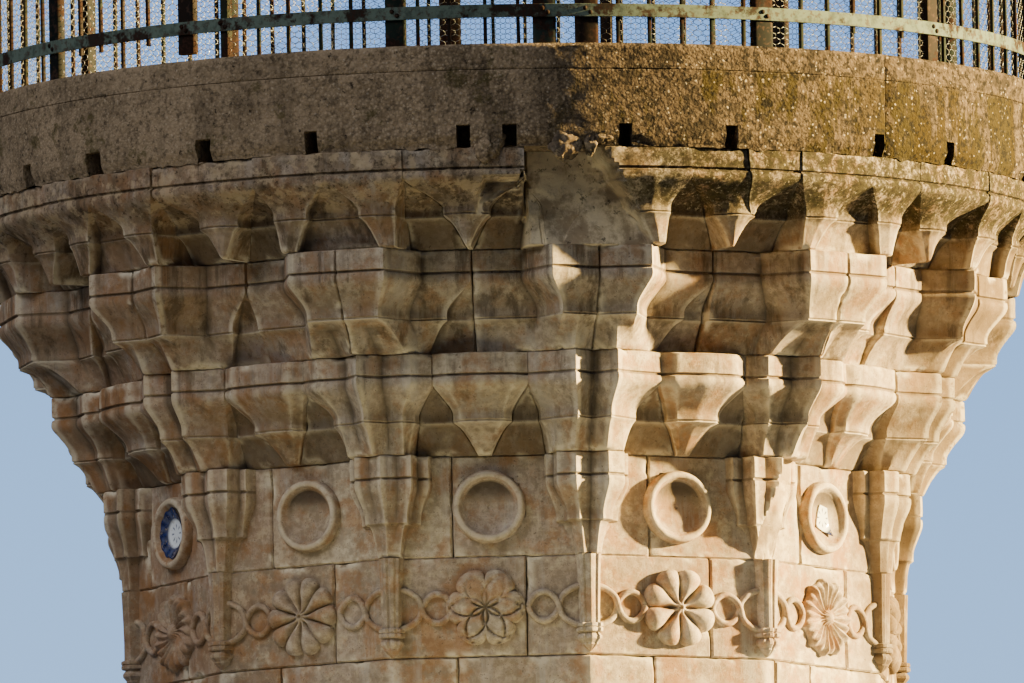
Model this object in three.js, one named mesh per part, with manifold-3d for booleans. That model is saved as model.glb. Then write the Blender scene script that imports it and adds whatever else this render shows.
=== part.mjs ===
// Balcony stage of a stone minaret, cut level through its shaft.
// Millimetres, +Z up, the origin on the axis at the foot of the lowest course.
// Angles are measured from -Y towards +X, seen from outside the tower to the right.

import * as THREE from 'three';
import * as BufferGeometryUtils from 'three/addons/utils/BufferGeometryUtils.js';
import Module from 'manifold-3d';

const wasm = await Module();
wasm.setup();

// driving dimensions
const SIDES = 12;                 // the shaft is a dodecagon
const WALL_APOTHEM = 1463;        // axis to the outer face of the shaft
const BORE_APOTHEM = 1030;        // axis to the inner face
const COURSE = 385;               // height of a plain stone course
const TIER_1_TOP = 1160;          // heights where the corbel courses end
const TIER_2_TOP = 1535;
const TIER_3_TOP = 1920;
const TIER_4_TOP = 2280;
const CURB_TOP = 2675;
const CURB_RADIUS = 2130;         // outer face of the concrete ring
const CURB_WIDTH = 210;
const FLOOR_THICKNESS = 150;
const RAIL_HEIGHT = 850;          // top of the railing above the concrete ring
const RAIL_RADIUS = 2085;         // centre of the uprights
const JOINT = 0.3;                // air between two stones that bear on each other

const FRIEZE_TOP = 2 * COURSE;
const SEGMENTS = 6;               // each course is made of six lengths of wall
const TURN = 360 / SEGMENTS;
const HALF_SIDE_ANGLE = 180 / SIDES;

// the share of a corbel's height at which its bands meet, counted from the top
const FASCIA_SHARE = 0.22;
const CYMA_SHARE = 0.66;
// the S curve between them: share of the way down, share of the way in
const CYMA = [[0.4, 0.12], [0.75, 0.82]];

const radians = THREE.MathUtils.degToRad;
const group = new THREE.Group();

// materials
function stone(colour) {
  return new THREE.MeshStandardMaterial({ color: colour, roughness: 0.9, metalness: 0 });
}
const limestone = () => stone(0xb49a76);
const concrete = () => stone(0x85796a);
const paintedSteel = () =>
  new THREE.MeshStandardMaterial({ color: 0x5d6b58, roughness: 0.6, metalness: 0.5 });
const glazedCeramic = () =>
  new THREE.MeshStandardMaterial({ color: 0xdfe4ea, roughness: 0.2, metalness: 0 });

// places on the plan
function polar(angle, radius) {
  return [radius * Math.sin(radians(angle)), -radius * Math.cos(radians(angle))];
}

// a point given by its offset along a face and its distance out, in the frame
// of the direction "angle"
function local(angle, [along, out]) {
  const a = radians(angle);
  return [
    out * Math.sin(a) + along * Math.cos(a),
    -out * Math.cos(a) + along * Math.sin(a),
  ];
}

// the radius at which a dodecagon of this apothem is met in one direction
function dodecagonRadius(apothem, angle) {
  const side = 2 * HALF_SIDE_ANGLE;
  const offset = angle - side * Math.round(angle / side);
  return apothem / Math.cos(radians(offset));
}

// corner angles of the dodecagon strictly between two directions
function cornersBetween(from, to) {
  const side = 2 * HALF_SIDE_ANGLE;
  const corners = [];
  for (let k = Math.ceil((from - HALF_SIDE_ANGLE) / side); ; k++) {
    const angle = HALF_SIDE_ANGLE + side * k;
    if (angle >= to) return corners;
    if (angle > from) corners.push(angle);
  }
}

// the inner face of a length of wall, walked back from "to" to "from"
function boreLine(from, to) {
  const corners = cornersBetween(from, to).reverse();
  return [to, ...corners, from].map((a) => polar(a, dodecagonRadius(BORE_APOTHEM, a)));
}

// solids
function mergedGeometry(geometry) {
  const plain = geometry.index ? geometry.clone() : geometry;
  plain.deleteAttribute('normal');
  plain.deleteAttribute('uv');
  return BufferGeometryUtils.mergeVertices(plain, 1e-4);
}

function solid(geometry) {
  const plain = mergedGeometry(geometry);
  return new wasm.Manifold(new wasm.Mesh({
    numProp: 3,
    vertProperties: Float32Array.from(plain.attributes.position.array),
    triVerts: Uint32Array.from(plain.index.array),
  }));
}

function geometryOf(manifold) {
  const mesh = manifold.getMesh();
  const geometry = new THREE.BufferGeometry();
  geometry.setAttribute('position', new THREE.BufferAttribute(mesh.vertProperties, 3));
  geometry.setIndex(new THREE.BufferAttribute(mesh.triVerts, 1));
  return geometry;
}

// a closed body through outlines at several heights, listed from the top down,
// each walked with the solid on its left when seen from above
function loft(sections) {
  const positions = [];
  const index = [];
  const count = sections[0].outline.length;
  for (const { z, outline } of sections) {
    for (const [x, y] of outline) positions.push(x, y, z);
  }
  for (let s = 0; s + 1 < sections.length; s++) {
    for (let i = 0; i < count; i++) {
      const a = s * count + i;
      const b = s * count + (i + 1) % count;
      const c = a + count;
      const d = b + count;
      index.push(a, c, b, b, c, d);
    }
  }
  const flat = (section) => section.outline.map(([x, y]) => new THREE.Vector2(x, y));
  const last = (sections.length - 1) * count;
  for (const [i, j, k] of THREE.ShapeUtils.triangulateShape(flat(sections[0]), [])) {
    index.push(i, j, k);
  }
  for (const [i, j, k] of THREE.ShapeUtils.triangulateShape(flat(sections.at(-1)), [])) {
    index.push(last + i, last + k, last + j);
  }
  const geometry = new THREE.BufferGeometry();
  geometry.setAttribute('position', new THREE.Float32BufferAttribute(positions, 3));
  geometry.setIndex(index);
  return geometry;
}

function addNode(name, geometry, material) {
  const mesh = new THREE.Mesh(geometry, material);
  mesh.name = name;
  group.add(mesh);
  return mesh;
}

function addTurned(name, geometry, material, angle) {
  addNode(name, geometry, material).rotation.z = radians(angle);
}

// outlines of the corbel courses

// Corners of two kinds take turns round the tower. Kind A stands out in one
// ridge, kind B in two with a hollow between them. One length of wall holds an
// A corner, the middle of a side, a B corner and the middle of the next side.
const CORNER_A = -HALF_SIDE_ANGLE;
const MIDDLE_1 = 0;
const CORNER_B = HALF_SIDE_ANGLE;
const MIDDLE_2 = 2 * HALF_SIDE_ANGLE;

function mirrored(half) {
  const left = half.filter(([along]) => along > 0).map(([along, out]) => [-along, out]);
  return [...left.reverse(), ...half];
}

function mix(a, b, share) {
  return a.map((point, i) => point.map((value, k) => value + (b[i][k] - value) * share));
}

// the five outlines of a corbel course with a top, a middle and a low outline
function courseSections(top, bottom, outlines, close) {
  const height = top - bottom;
  const levels = [
    [0, outlines.top],
    [FASCIA_SHARE, outlines.top],
    ...CYMA.map(([down, inward]) => [
      FASCIA_SHARE + (CYMA_SHARE - FASCIA_SHARE) * down,
      mix(outlines.top, outlines.middle, inward),
    ]),
    [CYMA_SHARE, outlines.middle],
    [1, outlines.low],
  ];
  return levels.map(([down, outline]) => ({
    z: top - JOINT - (height - JOINT) * down,
    outline: [...outline, ...close],
  }));
}

// a corbel between two niches, each niche a slit at the top that widens below
function corbel(angle, half, nicheRadius) {
  const line = mirrored(half).map((point) => local(angle, point));
  const [endAlong] = half.at(-1);
  const left = local(angle, [-endAlong, nicheRadius]);
  const right = local(angle, [endAlong, nicheRadius]);
  return [left, ...line, right];
}

// Tier 2: corbels over the corners and, between them, smaller ones that come
// to a narrow foot above each medallion.
const TIER_2 = {
  top: {
    a: [[0, 1815], [75, 1722], [190, 1722], [242, 1672]],
    b: [[0, 1725], [83, 1800], [143, 1740], [242, 1672]],
    m: [[0, 1712], [130, 1700], [176, 1668]],
    niche: 1650,
  },
  middle: {
    a: [[0, 1735], [68, 1655], [130, 1655], [165, 1610]],
    b: [[0, 1670], [66, 1735], [118, 1680], [185, 1605]],
    m: [[0, 1622], [90, 1610], [130, 1580]],
    niche: 1560,
  },
  low: {
    a: [[0, 1655], [57, 1605], [114, 1600], [120, 1560]],
    b: [[0, 1605], [64, 1650], [137, 1590], [142, 1560]],
    m: [[0, 1500], [30, 1496], [38, 1486]],
    niche: 1478,
  },
};

// Tier 4: a broad corbel over each corner, notched in the middle, and a pendant
// with a pointed foot over the middle of each side.
const TIER_4 = {
  top: {
    a: [[0, 2112], [5, 2112], [9, 2112], [170, 2104], [304, 2088]],
    m: [[0, 2106], [110, 2101], [228, 2090]],
    niche: 2075,
  },
  middle: {
    a: [[0, 1972], [50, 1974], [58, 2040], [150, 2042], [241, 2015]],
    m: [[0, 2022], [50, 2012], [88, 1985]],
    niche: 1900,
  },
  low: {
    a: [[0, 1925], [108, 1925], [117, 1984], [165, 1985], [198, 1976]],
    m: [[0, 1968], [5, 1964], [9, 1956]],
    niche: 1800,
  },
};

function corbelOutline(course, level, boundary) {
  const { a, b = a, m, niche } = course[level];
  return [
    polar(boundary, niche),
    ...corbel(CORNER_A, a, niche),
    ...corbel(MIDDLE_1, m, niche),
    ...corbel(CORNER_B, b, niche),
    ...corbel(MIDDLE_2, m, niche),
    polar(boundary + TURN, niche),
  ];
}

// Tier 3: a block over each corner from the middle of one side to the middle
// of the next. It has a front between two ridges, splayed cheeks and flat wings,
// and a niche cut under the right wing.
const TIER_3 = {
  top: {
    a: [[0, 1980], [80, 1980], [194, 1978], [282, 1790]],
    b: [[0, 1925], [83, 1950], [194, 1978], [282, 1790]],
    joint: 1800, wing: 0, niche: 1796,
  },
  middle: {
    a: [[0, 1914], [75, 1914], [145, 1910], [215, 1740]],
    b: [[0, 1864], [75, 1886], [145, 1910], [215, 1740]],
    joint: 1745, wing: 100, niche: 1705,
  },
  low: {
    a: [[0, 1822], [75, 1730], [190, 1730], [232, 1684]],
    b: [[0, 1732], [83, 1806], [143, 1748], [232, 1684]],
    joint: 1640, wing: 178, niche: 1625,
  },
};
const SLIT = 2;                   // half the width of a niche at its point

function blockOutline(level) {
  const { a, b, joint, wing, niche } = TIER_3[level];
  const block = (angle, half) => [
    local(angle - HALF_SIDE_ANGLE, [SLIT, joint]),
    ...mirrored(half).map((point) => local(angle, point)),
    local(angle + HALF_SIDE_ANGLE, [-SLIT - wing, joint]),
    local(angle + HALF_SIDE_ANGLE, [-SLIT - wing, niche]),
    local(angle + HALF_SIDE_ANGLE, [-SLIT, niche]),
  ];
  return [...block(CORNER_A, a), ...block(CORNER_B, b)];
}

// walls

const FRIEZE_BOUNDARY = 7;        // where the lengths of wall meet, in degrees
const CAPITAL_BOUNDARY = -7;
const CORBEL_BOUNDARY = -23.4;
const BLOCK_BOUNDARY = -30;
const GAP_ANGLE = JOINT / WALL_APOTHEM * 90 / Math.PI;

function wallPrism(from, to, bottom, top) {
  const corners = cornersBetween(from, to);
  const face = [from, ...corners, to].map((a) => polar(a, dodecagonRadius(WALL_APOTHEM, a)));
  const outline = [...face, ...boreLine(from, to)];
  return loft([{ z: top, outline }, { z: bottom, outline }]);
}

// a body that stands proud of a corner, with its back sunk in the wall
function cornerBody(angle, levels) {
  const back = WALL_APOTHEM - 60;
  const sections = levels.map(({ z, half }) => {
    const line = mirrored(half);
    const [endAlong] = half.at(-1);
    const plan = [...line, [endAlong, back], [-endAlong, back]];
    return { z, outline: plan.map((point) => local(angle, point)) };
  });
  return solid(loft(sections));
}

// engaged colonnettes: shaft, ring, bulb and pointed foot
const COLONNETTE = [
  // height below the top of the frieze, half width, how far it stands out
  [0, 46, 42], [258, 38, 34], [261, 48, 46], [294, 48, 46],
  [297, 34, 30], [322, 44, 40], [345, 34, 30], [383, 6, 8],
];

function colonnette(angle, kindA) {
  const cornerRadius = dodecagonRadius(WALL_APOTHEM, HALF_SIDE_ANGLE);
  const levels = COLONNETTE.map(([down, width, out]) => ({
    z: FRIEZE_TOP - JOINT - down,
    half: kindA
      ? [[0, cornerRadius + out], [width * 0.55, cornerRadius + out * 0.45], [width, cornerRadius - 12]]
      : [[0, cornerRadius + out * 0.6], [width * 0.55, cornerRadius + out], [width, cornerRadius - 12]],
  }));
  return cornerBody(angle, levels);
}

// capitals of the colonnettes, which are the first tier of corbels
const CAPITAL = {
  top: {
    a: [[0, 1626], [57, 1590], [114, 1597], [117, 1525], [165, 1520]],
    b: [[0, 1592], [64, 1626], [137, 1592], [140, 1525], [167, 1520]],
  },
  middle: {
    a: [[0, 1580], [45, 1550], [88, 1556], [91, 1505], [122, 1500]],
    b: [[0, 1550], [48, 1580], [92, 1554], [95, 1505], [124, 1500]],
  },
  low: {
    a: [[0, 1558], [26, 1540], [47, 1530], [50, 1500], [70, 1492]],
    b: [[0, 1545], [26, 1558], [50, 1530], [53, 1500], [70, 1492]],
  },
};

function capital(angle, kind) {
  const outlines = {
    top: CAPITAL.top[kind], middle: CAPITAL.middle[kind], low: CAPITAL.low[kind],
  };
  const sections = courseSections(TIER_1_TOP, FRIEZE_TOP, outlines, []);
  return cornerBody(angle, sections.map(({ z, outline }) => ({ z, half: outline })));
}

// a turned shape on the face of a side, its axis square to the face
function onFace(geometry, angle, height, depth) {
  const placed = geometry.clone();
  placed.rotateX(Math.PI);
  placed.translate(0, -depth, height);
  placed.rotateZ(radians(angle));
  return solid(placed);
}

const MEDALLION_HEIGHT = FRIEZE_TOP + 192;
const ROSETTE_HEIGHT = FRIEZE_TOP - 196;
const ROUND = 12;                 // sides of a turned ornament

function lathe(profile) {
  return new THREE.LatheGeometry(profile.map(([r, h]) => new THREE.Vector2(r, h)), ROUND);
}

// raised rim of a medallion, and the bowl sunk in it
const RIM_RADIUS = 140;
const RIM_OUT = 30;
const BOWL_RADIUS = 108;
const BOWL_DEPTH = 22;
const SUNK = 25;                  // how far an ornament reaches into the wall
const medallionRim = lathe([
  [0, -SUNK], [RIM_RADIUS, -SUNK], [RIM_RADIUS, RIM_OUT * 0.5],
  [RIM_RADIUS - 14, RIM_OUT], [0, RIM_OUT],
]);
const medallionBowl = lathe([
  [0, -BOWL_DEPTH], [BOWL_RADIUS * 0.55, -BOWL_DEPTH * 0.75],
  [BOWL_RADIUS - 8, 6], [BOWL_RADIUS, RIM_OUT + 1], [0, RIM_OUT + 1],
]);

// rosette boss: a low dome with a centre
const ROSETTE_RADIUS = 142;
const ROSETTE_OUT = 34;
const rosetteBoss = lathe([
  [0, -SUNK], [ROSETTE_RADIUS - 8, -SUNK], [ROSETTE_RADIUS, 12],
  [ROSETTE_RADIUS * 0.8, ROSETTE_OUT], [0, ROSETTE_OUT],
]);

function shaftWall() {
  const from = FRIEZE_BOUNDARY - TURN;
  const wall = solid(wallPrism(from + GAP_ANGLE, FRIEZE_BOUNDARY - GAP_ANGLE,
    0, FRIEZE_TOP - JOINT));
  let body = wall;
  for (const [angle, kindA] of [[CORNER_A, true], [CORNER_A - 30, false]]) {
    body = body.add(colonnette(angle, kindA));
  }
  for (const angle of [MIDDLE_1, MIDDLE_1 - 30]) {
    body = body.add(onFace(rosetteBoss, angle, ROSETTE_HEIGHT, WALL_APOTHEM));
  }
  return geometryOf(body);
}

function medallionWall() {
  const from = CAPITAL_BOUNDARY;
  let body = solid(wallPrism(from + GAP_ANGLE, from + TURN - GAP_ANGLE,
    FRIEZE_TOP, TIER_1_TOP - JOINT));
  body = body.add(capital(CORNER_B, 'b')).add(capital(CORNER_B + 30, 'a'));
  for (const angle of [MIDDLE_1, MIDDLE_2]) {
    body = body.add(onFace(medallionRim, angle, MEDALLION_HEIGHT, WALL_APOTHEM));
    body = body.subtract(onFace(medallionBowl, angle, MEDALLION_HEIGHT, WALL_APOTHEM));
  }
  return geometryOf(body);
}

function corbelCourse(course, top, bottom) {
  const from = CORBEL_BOUNDARY + GAP_ANGLE;
  const to = CORBEL_BOUNDARY + TURN - GAP_ANGLE;
  const outlines = {};
  for (const level of ['top', 'middle', 'low']) {
    const outline = corbelOutline(course, level, CORBEL_BOUNDARY);
    outline[0] = polar(from, course[level].niche);
    outline[outline.length - 1] = polar(to, course[level].niche);
    outlines[level] = outline;
  }
  return loft(courseSections(top, bottom, outlines, boreLine(from, to)));
}

function blockCourse() {
  const outlines = {};
  for (const level of ['top', 'middle', 'low']) outlines[level] = blockOutline(level);
  const from = BLOCK_BOUNDARY + GAP_ANGLE * 2;
  const to = BLOCK_BOUNDARY + TURN - GAP_ANGLE * 2;
  return loft(courseSections(TIER_3_TOP, TIER_2_TOP, outlines, boreLine(from, to)));
}

// concrete

const CURB_STEPS = 12;            // straight stretches in one length of ring
const BAND_STEPS = 6;             // and in one length of a railing band

function arc(radius, from, to, steps) {
  return Array.from({ length: steps + 1 }, (_, i) =>
    polar(from + (to - from) * i / steps, radius));
}

// square holes left in its foot by the timbers of the formwork
const HOLE_ANGLE = 12;
const HOLE_WIDTH = 47;
const HOLE_HEIGHT = 78;
const HOLE_DEPTH = 150;

function curb() {
  const gap = GAP_ANGLE;
  const outer = arc(CURB_RADIUS, gap, TURN - gap, CURB_STEPS);
  const inner = arc(CURB_RADIUS - CURB_WIDTH, TURN - gap, gap, CURB_STEPS / 2);
  const outline = [...outer, ...inner];
  let body = solid(loft([{ z: CURB_TOP, outline }, { z: TIER_4_TOP, outline }]));
  for (let angle = HOLE_ANGLE / 2; angle < TURN; angle += HOLE_ANGLE) {
    const hole = new THREE.BoxGeometry(HOLE_WIDTH, 2 * HOLE_DEPTH, 2 * HOLE_HEIGHT);
    hole.translate(0, -CURB_RADIUS, TIER_4_TOP);
    hole.rotateZ(radians(angle));
    body = body.subtract(solid(hole));
  }
  return geometryOf(body);
}

function floor() {
  const shape = new THREE.Shape();
  const radius = CURB_RADIUS - CURB_WIDTH - 3;
  const ring = arc(radius, 0, 360, CURB_STEPS * 3).slice(0, -1);
  shape.setFromPoints(ring.map(([x, y]) => new THREE.Vector2(x, y)));
  const bore = arc(dodecagonRadius(BORE_APOTHEM, HALF_SIDE_ANGLE), HALF_SIDE_ANGLE,
    360 + HALF_SIDE_ANGLE, SIDES).slice(0, -1);
  shape.holes.push(new THREE.Path(bore.map(([x, y]) => new THREE.Vector2(x, y))));
  const geometry = new THREE.ExtrudeGeometry(shape, {
    depth: FLOOR_THICKNESS, bevelEnabled: false,
  });
  geometry.translate(0, 0, TIER_4_TOP);
  return mergedGeometry(geometry);
}

// railing

const POSTS = [-8.5, 10.9, 31];   // in one panel, in degrees
const BARS = 17;                  // thin uprights in one panel
const POST_WIDTH = 45;
const BAR_WIDTH = 18;
const BAND_HEIGHT = 54;
const BAND_THICKNESS = 8;
const BAND_LEVEL = 152;           // middle of the low band above the ring
const TOP_RAIL_WIDTH = 60;
const TOP_RAIL_THICKNESS = 12;
const PANEL_FROM = -18.5;

function railArc(inside, outside, top, bottom) {
  const from = PANEL_FROM + GAP_ANGLE;
  const to = PANEL_FROM + TURN - GAP_ANGLE;
  const outline = [
    ...arc(outside, from, to, BAND_STEPS),
    ...arc(inside, to, from, BAND_STEPS),
  ];
  return solid(loft([{ z: top, outline }, { z: bottom, outline }]));
}

// its outer face is the inner face of the low band, and it ends in the top rail
function upright(angle, width) {
  const bite = 2;
  const height = RAIL_HEIGHT - TOP_RAIL_THICKNESS + bite - JOINT;
  const box = new THREE.BoxGeometry(width, width, height);
  box.translate(0, (width - BAR_WIDTH) / 2 - RAIL_RADIUS, CURB_TOP + JOINT + height / 2);
  box.rotateZ(radians(angle));
  return solid(box);
}

function railingPanel() {
  const face = (RAIL_RADIUS + BAR_WIDTH / 2) * Math.cos(radians(TURN / BAND_STEPS / 2)) - 2;
  const band = CURB_TOP + BAND_LEVEL;
  const top = CURB_TOP + RAIL_HEIGHT;
  let body = railArc(face, face + BAND_THICKNESS, band + BAND_HEIGHT / 2,
    band - BAND_HEIGHT / 2);
  body = body.add(railArc(RAIL_RADIUS - TOP_RAIL_WIDTH / 2, RAIL_RADIUS + TOP_RAIL_WIDTH / 2,
    top, top - TOP_RAIL_THICKNESS));
  for (const angle of POSTS) body = body.add(upright(angle, POST_WIDTH));
  for (let i = 0; i < BARS; i++) {
    const angle = PANEL_FROM + (i + 0.5) * TURN / BARS;
    const nearest = Math.min(...POSTS.map((post) => Math.abs(post - angle)));
    if (nearest > 1.2) body = body.add(upright(angle, BAR_WIDTH));
  }
  return geometryOf(body);
}

// a ceramic plate set in the bowl of one medallion
const PLATE_THICKNESS = 6;
const PLATE_FOOT = BOWL_RADIUS * 0.55;
const PLATE_RIM = BOWL_RADIUS - 10;
const plateProfile = [
  [0, JOINT - BOWL_DEPTH], [PLATE_FOOT, JOINT - BOWL_DEPTH * 0.75], [PLATE_RIM, 7],
  [PLATE_RIM, 7 + PLATE_THICKNESS],
  [PLATE_FOOT, PLATE_THICKNESS - BOWL_DEPTH * 0.75], [0, PLATE_THICKNESS - BOWL_DEPTH],
];
const PLATE_SIDE = -60;

function onMedallion(geometry, side) {
  const placed = geometry.clone();
  placed.rotateX(Math.PI);
  placed.translate(0, -WALL_APOTHEM, MEDALLION_HEIGHT);
  placed.rotateZ(radians(side));
  return mergedGeometry(placed);
}

// The whole. The corbel courses are set out a little turned from the shaft.
const courses = [
  ['shaft_wall', shaftWall(), 0],
  ['medallion_course', medallionWall(), 0],
  ['corbel_tier_2', corbelCourse(TIER_2, TIER_2_TOP, TIER_1_TOP), -0.9],
  ['corbel_tier_3', blockCourse(), -1],
  ['corbel_tier_4', corbelCourse(TIER_4, TIER_4_TOP, TIER_3_TOP), -1.1],
];
for (const [name, geometry, askew] of courses) {
  for (let i = 0; i < SEGMENTS; i++) {
    addTurned(`${name}_${i + 1}`, geometry, limestone(), i * TURN + askew);
  }
}
const curbGeometry = curb();
const panelGeometry = railingPanel();
for (let i = 0; i < SEGMENTS; i++) {
  addTurned(`concrete_ring_${i + 1}`, curbGeometry, concrete(), i * TURN);
  addTurned(`railing_panel_${i + 1}`, panelGeometry, paintedSteel(), i * TURN);
}
addNode('balcony_floor', floor(), concrete());
addNode('ceramic_plate', onMedallion(lathe(plateProfile), PLATE_SIDE), glazedCeramic());

export default group;
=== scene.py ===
import math
import random

import bmesh
import bpy
from mathutils import Matrix, Vector, noise

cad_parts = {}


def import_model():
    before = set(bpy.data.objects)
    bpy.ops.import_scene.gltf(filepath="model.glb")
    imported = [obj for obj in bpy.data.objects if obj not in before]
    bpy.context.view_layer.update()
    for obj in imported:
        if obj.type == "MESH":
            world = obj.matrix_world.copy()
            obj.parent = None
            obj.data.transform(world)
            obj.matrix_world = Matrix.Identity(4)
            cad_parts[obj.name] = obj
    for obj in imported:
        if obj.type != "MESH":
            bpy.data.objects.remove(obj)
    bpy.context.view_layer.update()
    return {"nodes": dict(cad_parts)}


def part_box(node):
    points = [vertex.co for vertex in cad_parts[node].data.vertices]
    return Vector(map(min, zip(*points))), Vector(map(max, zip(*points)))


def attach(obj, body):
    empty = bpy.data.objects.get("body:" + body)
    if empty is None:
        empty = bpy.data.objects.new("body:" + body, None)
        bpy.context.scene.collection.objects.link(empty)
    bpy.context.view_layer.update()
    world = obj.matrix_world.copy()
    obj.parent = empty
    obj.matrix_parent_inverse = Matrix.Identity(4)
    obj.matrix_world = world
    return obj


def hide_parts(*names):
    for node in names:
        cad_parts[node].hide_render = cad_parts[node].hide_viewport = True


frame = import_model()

# Metres, +Z up. Angles are degrees from -Y towards +X, to the right as seen from outside.
MM = 0.001
SEGMENTS = 6
TURN = 360 / SEGMENTS
SIDE = 30
WALL = 1.463              # axis to the face of the shaft
CORNER = WALL / math.cos(math.radians(SIDE / 2))
BORE = 1.03               # axis to the inner face
COURSE = 0.385


def top_of(node):
    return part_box(node)[1].z


FRIEZE_TOP = top_of("shaft_wall_1")
TIER_1_TOP = top_of("medallion_course_1")
TIER_2_TOP = top_of("corbel_tier_2_1")
TIER_3_TOP = top_of("corbel_tier_3_1")
TIER_4_TOP = top_of("corbel_tier_4_1")
CURB_TOP = top_of("concrete_ring_1")
RAIL_TOP = top_of("railing_panel_1")
CURB_RADIUS = 2.13
CURB_INSIDE = 1.92
RAIL_RADIUS = 2.085
PLATE_SIDE = -60
MEDALLION_Z = FRIEZE_TOP + 0.192
ROSETTE_Z = FRIEZE_TOP - 0.196
GAP = 0.0003              # between a course and the one it bears on

dice = random.Random(7)


# places on the plan

def polar(angle, radius):
    a = math.radians(angle)
    return Vector((radius * math.sin(a), -radius * math.cos(a)))


def local(angle, along, out):
    a = math.radians(angle)
    return Vector((out * math.sin(a) + along * math.cos(a),
                   -out * math.cos(a) + along * math.sin(a)))


def bearing(point):
    return math.degrees(math.atan2(point.x, -point.y))


def turn_between(a, b):
    return (a - b + 180) % 360 - 180


def flat_radius(apothem, angle):
    offset = (angle + SIDE / 2) % SIDE - SIDE / 2
    return apothem / math.cos(math.radians(offset))


# The shaft's corners aren't quite even: the six that show, and the rest shared out.
FIRST_CORNER = -75
CORNERS = [-73.2, -45.0, -15.0, 14.1, 43.0, 72.3]
CORNERS += [72.3 + (360 - 73.2 - 72.3) * k / 7 for k in range(1, 7)]


def corner_at(nominal):
    count = round((nominal - FIRST_CORNER) / SIDE)
    return CORNERS[count % 12] + 360 * (count // 12)


def face_at(nominal):
    """The true bearing of a side of the shaft, its distance from the axis and half its
    width."""
    low = corner_at(nominal - SIDE / 2)
    high = corner_at(nominal + SIDE / 2)
    half = math.radians((high - low) / 2)
    return (low + high) / 2, CORNER * math.cos(half), CORNER * math.sin(half)


def wall_point(angle):
    """Where a bearing meets the face of the shaft."""
    faces = [face_at(SIDE * k) for k in range(12)]
    middle, out, _ = min(faces, key=lambda face: abs(turn_between(angle, face[0])))
    return polar(angle, out / math.cos(math.radians(turn_between(angle, middle))))


def smooth(x):
    x = min(max(x, 0), 1)
    return x * x * (3 - 2 * x)


def mix(a, b, share):
    return a + (b - a) * share


# materials

def linear(hex_colour):
    """sRGB hex to the linear colour that the shader takes."""
    parts = [int(hex_colour[i:i + 2], 16) / 255 for i in (1, 3, 5)]
    return tuple(c / 12.92 if c <= 0.04045 else ((c + 0.055) / 1.055) ** 2.4
                 for c in parts) + (1.0,)


def add(tree, kind, settings=None, **inputs):
    """Adds a node with its settings and sockets, each a value or another node's socket, by
    its name or as iN for its place in the row, and gives back the node's outputs."""
    node = tree.nodes.new(kind)
    for key, value in (settings or {}).items():
        setattr(node, key, value)
    for key, value in inputs.items():
        socket = node.inputs[int(key[1:])] if key[0] == "i" and key[1:].isdigit() \
            else node.inputs[key.replace("_", " ")]
        if isinstance(value, bpy.types.NodeSocket):
            tree.links.new(value, socket)
        else:
            socket.default_value = value
    return node.outputs


def link(tree, bsdf, **sockets):
    """Links outputs to a shader's sockets, each by its name."""
    for name, socket in sockets.items():
        tree.links.new(socket, bsdf.inputs[name.replace("_", " ")])


ADD = {"operation": "ADD"}
SUBTRACT = {"operation": "SUBTRACT"}
MULTIPLY = {"operation": "MULTIPLY"}
FADE = {"interpolation_type": "SMOOTHSTEP"}
LAY = {"data_type": "RGBA"}


def new_material(name, **shader):
    material = bpy.data.materials.new(name)
    material.use_nodes = True
    tree = material.node_tree
    tree.nodes.clear()
    bsdf = add(tree, "ShaderNodeBsdfPrincipled", None, **shader)[0]
    add(tree, "ShaderNodeOutputMaterial", None, Surface=bsdf)
    return material, tree, bsdf.node


def stain(tree, under, over, where, size, low, high, amount, masks=()):
    """A patchy stain over the colour under it: patches of size mm, as strong as amount where
    the noise is above high and gone where it is below low, thinned by each mask."""
    share = add(tree, "ShaderNodeTexNoise", None, Vector=where, Scale=1 / (size * MM),
                Detail=8.0, Roughness=0.7)[0]
    share = add(tree, "ShaderNodeMapRange", FADE, i0=share, i1=low, i2=high, i4=amount)[0]
    for mask in masks:
        share = add(tree, "ShaderNodeMath", MULTIPLY, i0=share, i1=mask)[0]
    return add(tree, "ShaderNodeMix", LAY, i0=share, i6=under, i7=linear(over))[2]


def coat(tree, colour, sources, stains):
    """Stains laid one over the other. Each source names a mask, which goes from 0 to 1 or
    between the two ends given while its value goes from low to high, and the names after a
    stain are the masks that thin it."""
    take = {}
    for name, source, low, high, *ends in sources:
        least, most = ends or (0.0, 1.0)
        take[name] = add(tree, "ShaderNodeMapRange", FADE, i0=source, i1=low, i2=high,
                         i3=least, i4=most)[0]
    for over, where, size, low, high, amount, *masks in stains:
        colour = stain(tree, colour, over, where, size, low, high, amount,
                       [take[name] for name in masks])
    return colour


MINERAL = {"Roughness": 0.95, "IOR": 1.5, "Specular_IOR_Level": 0.12}


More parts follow.
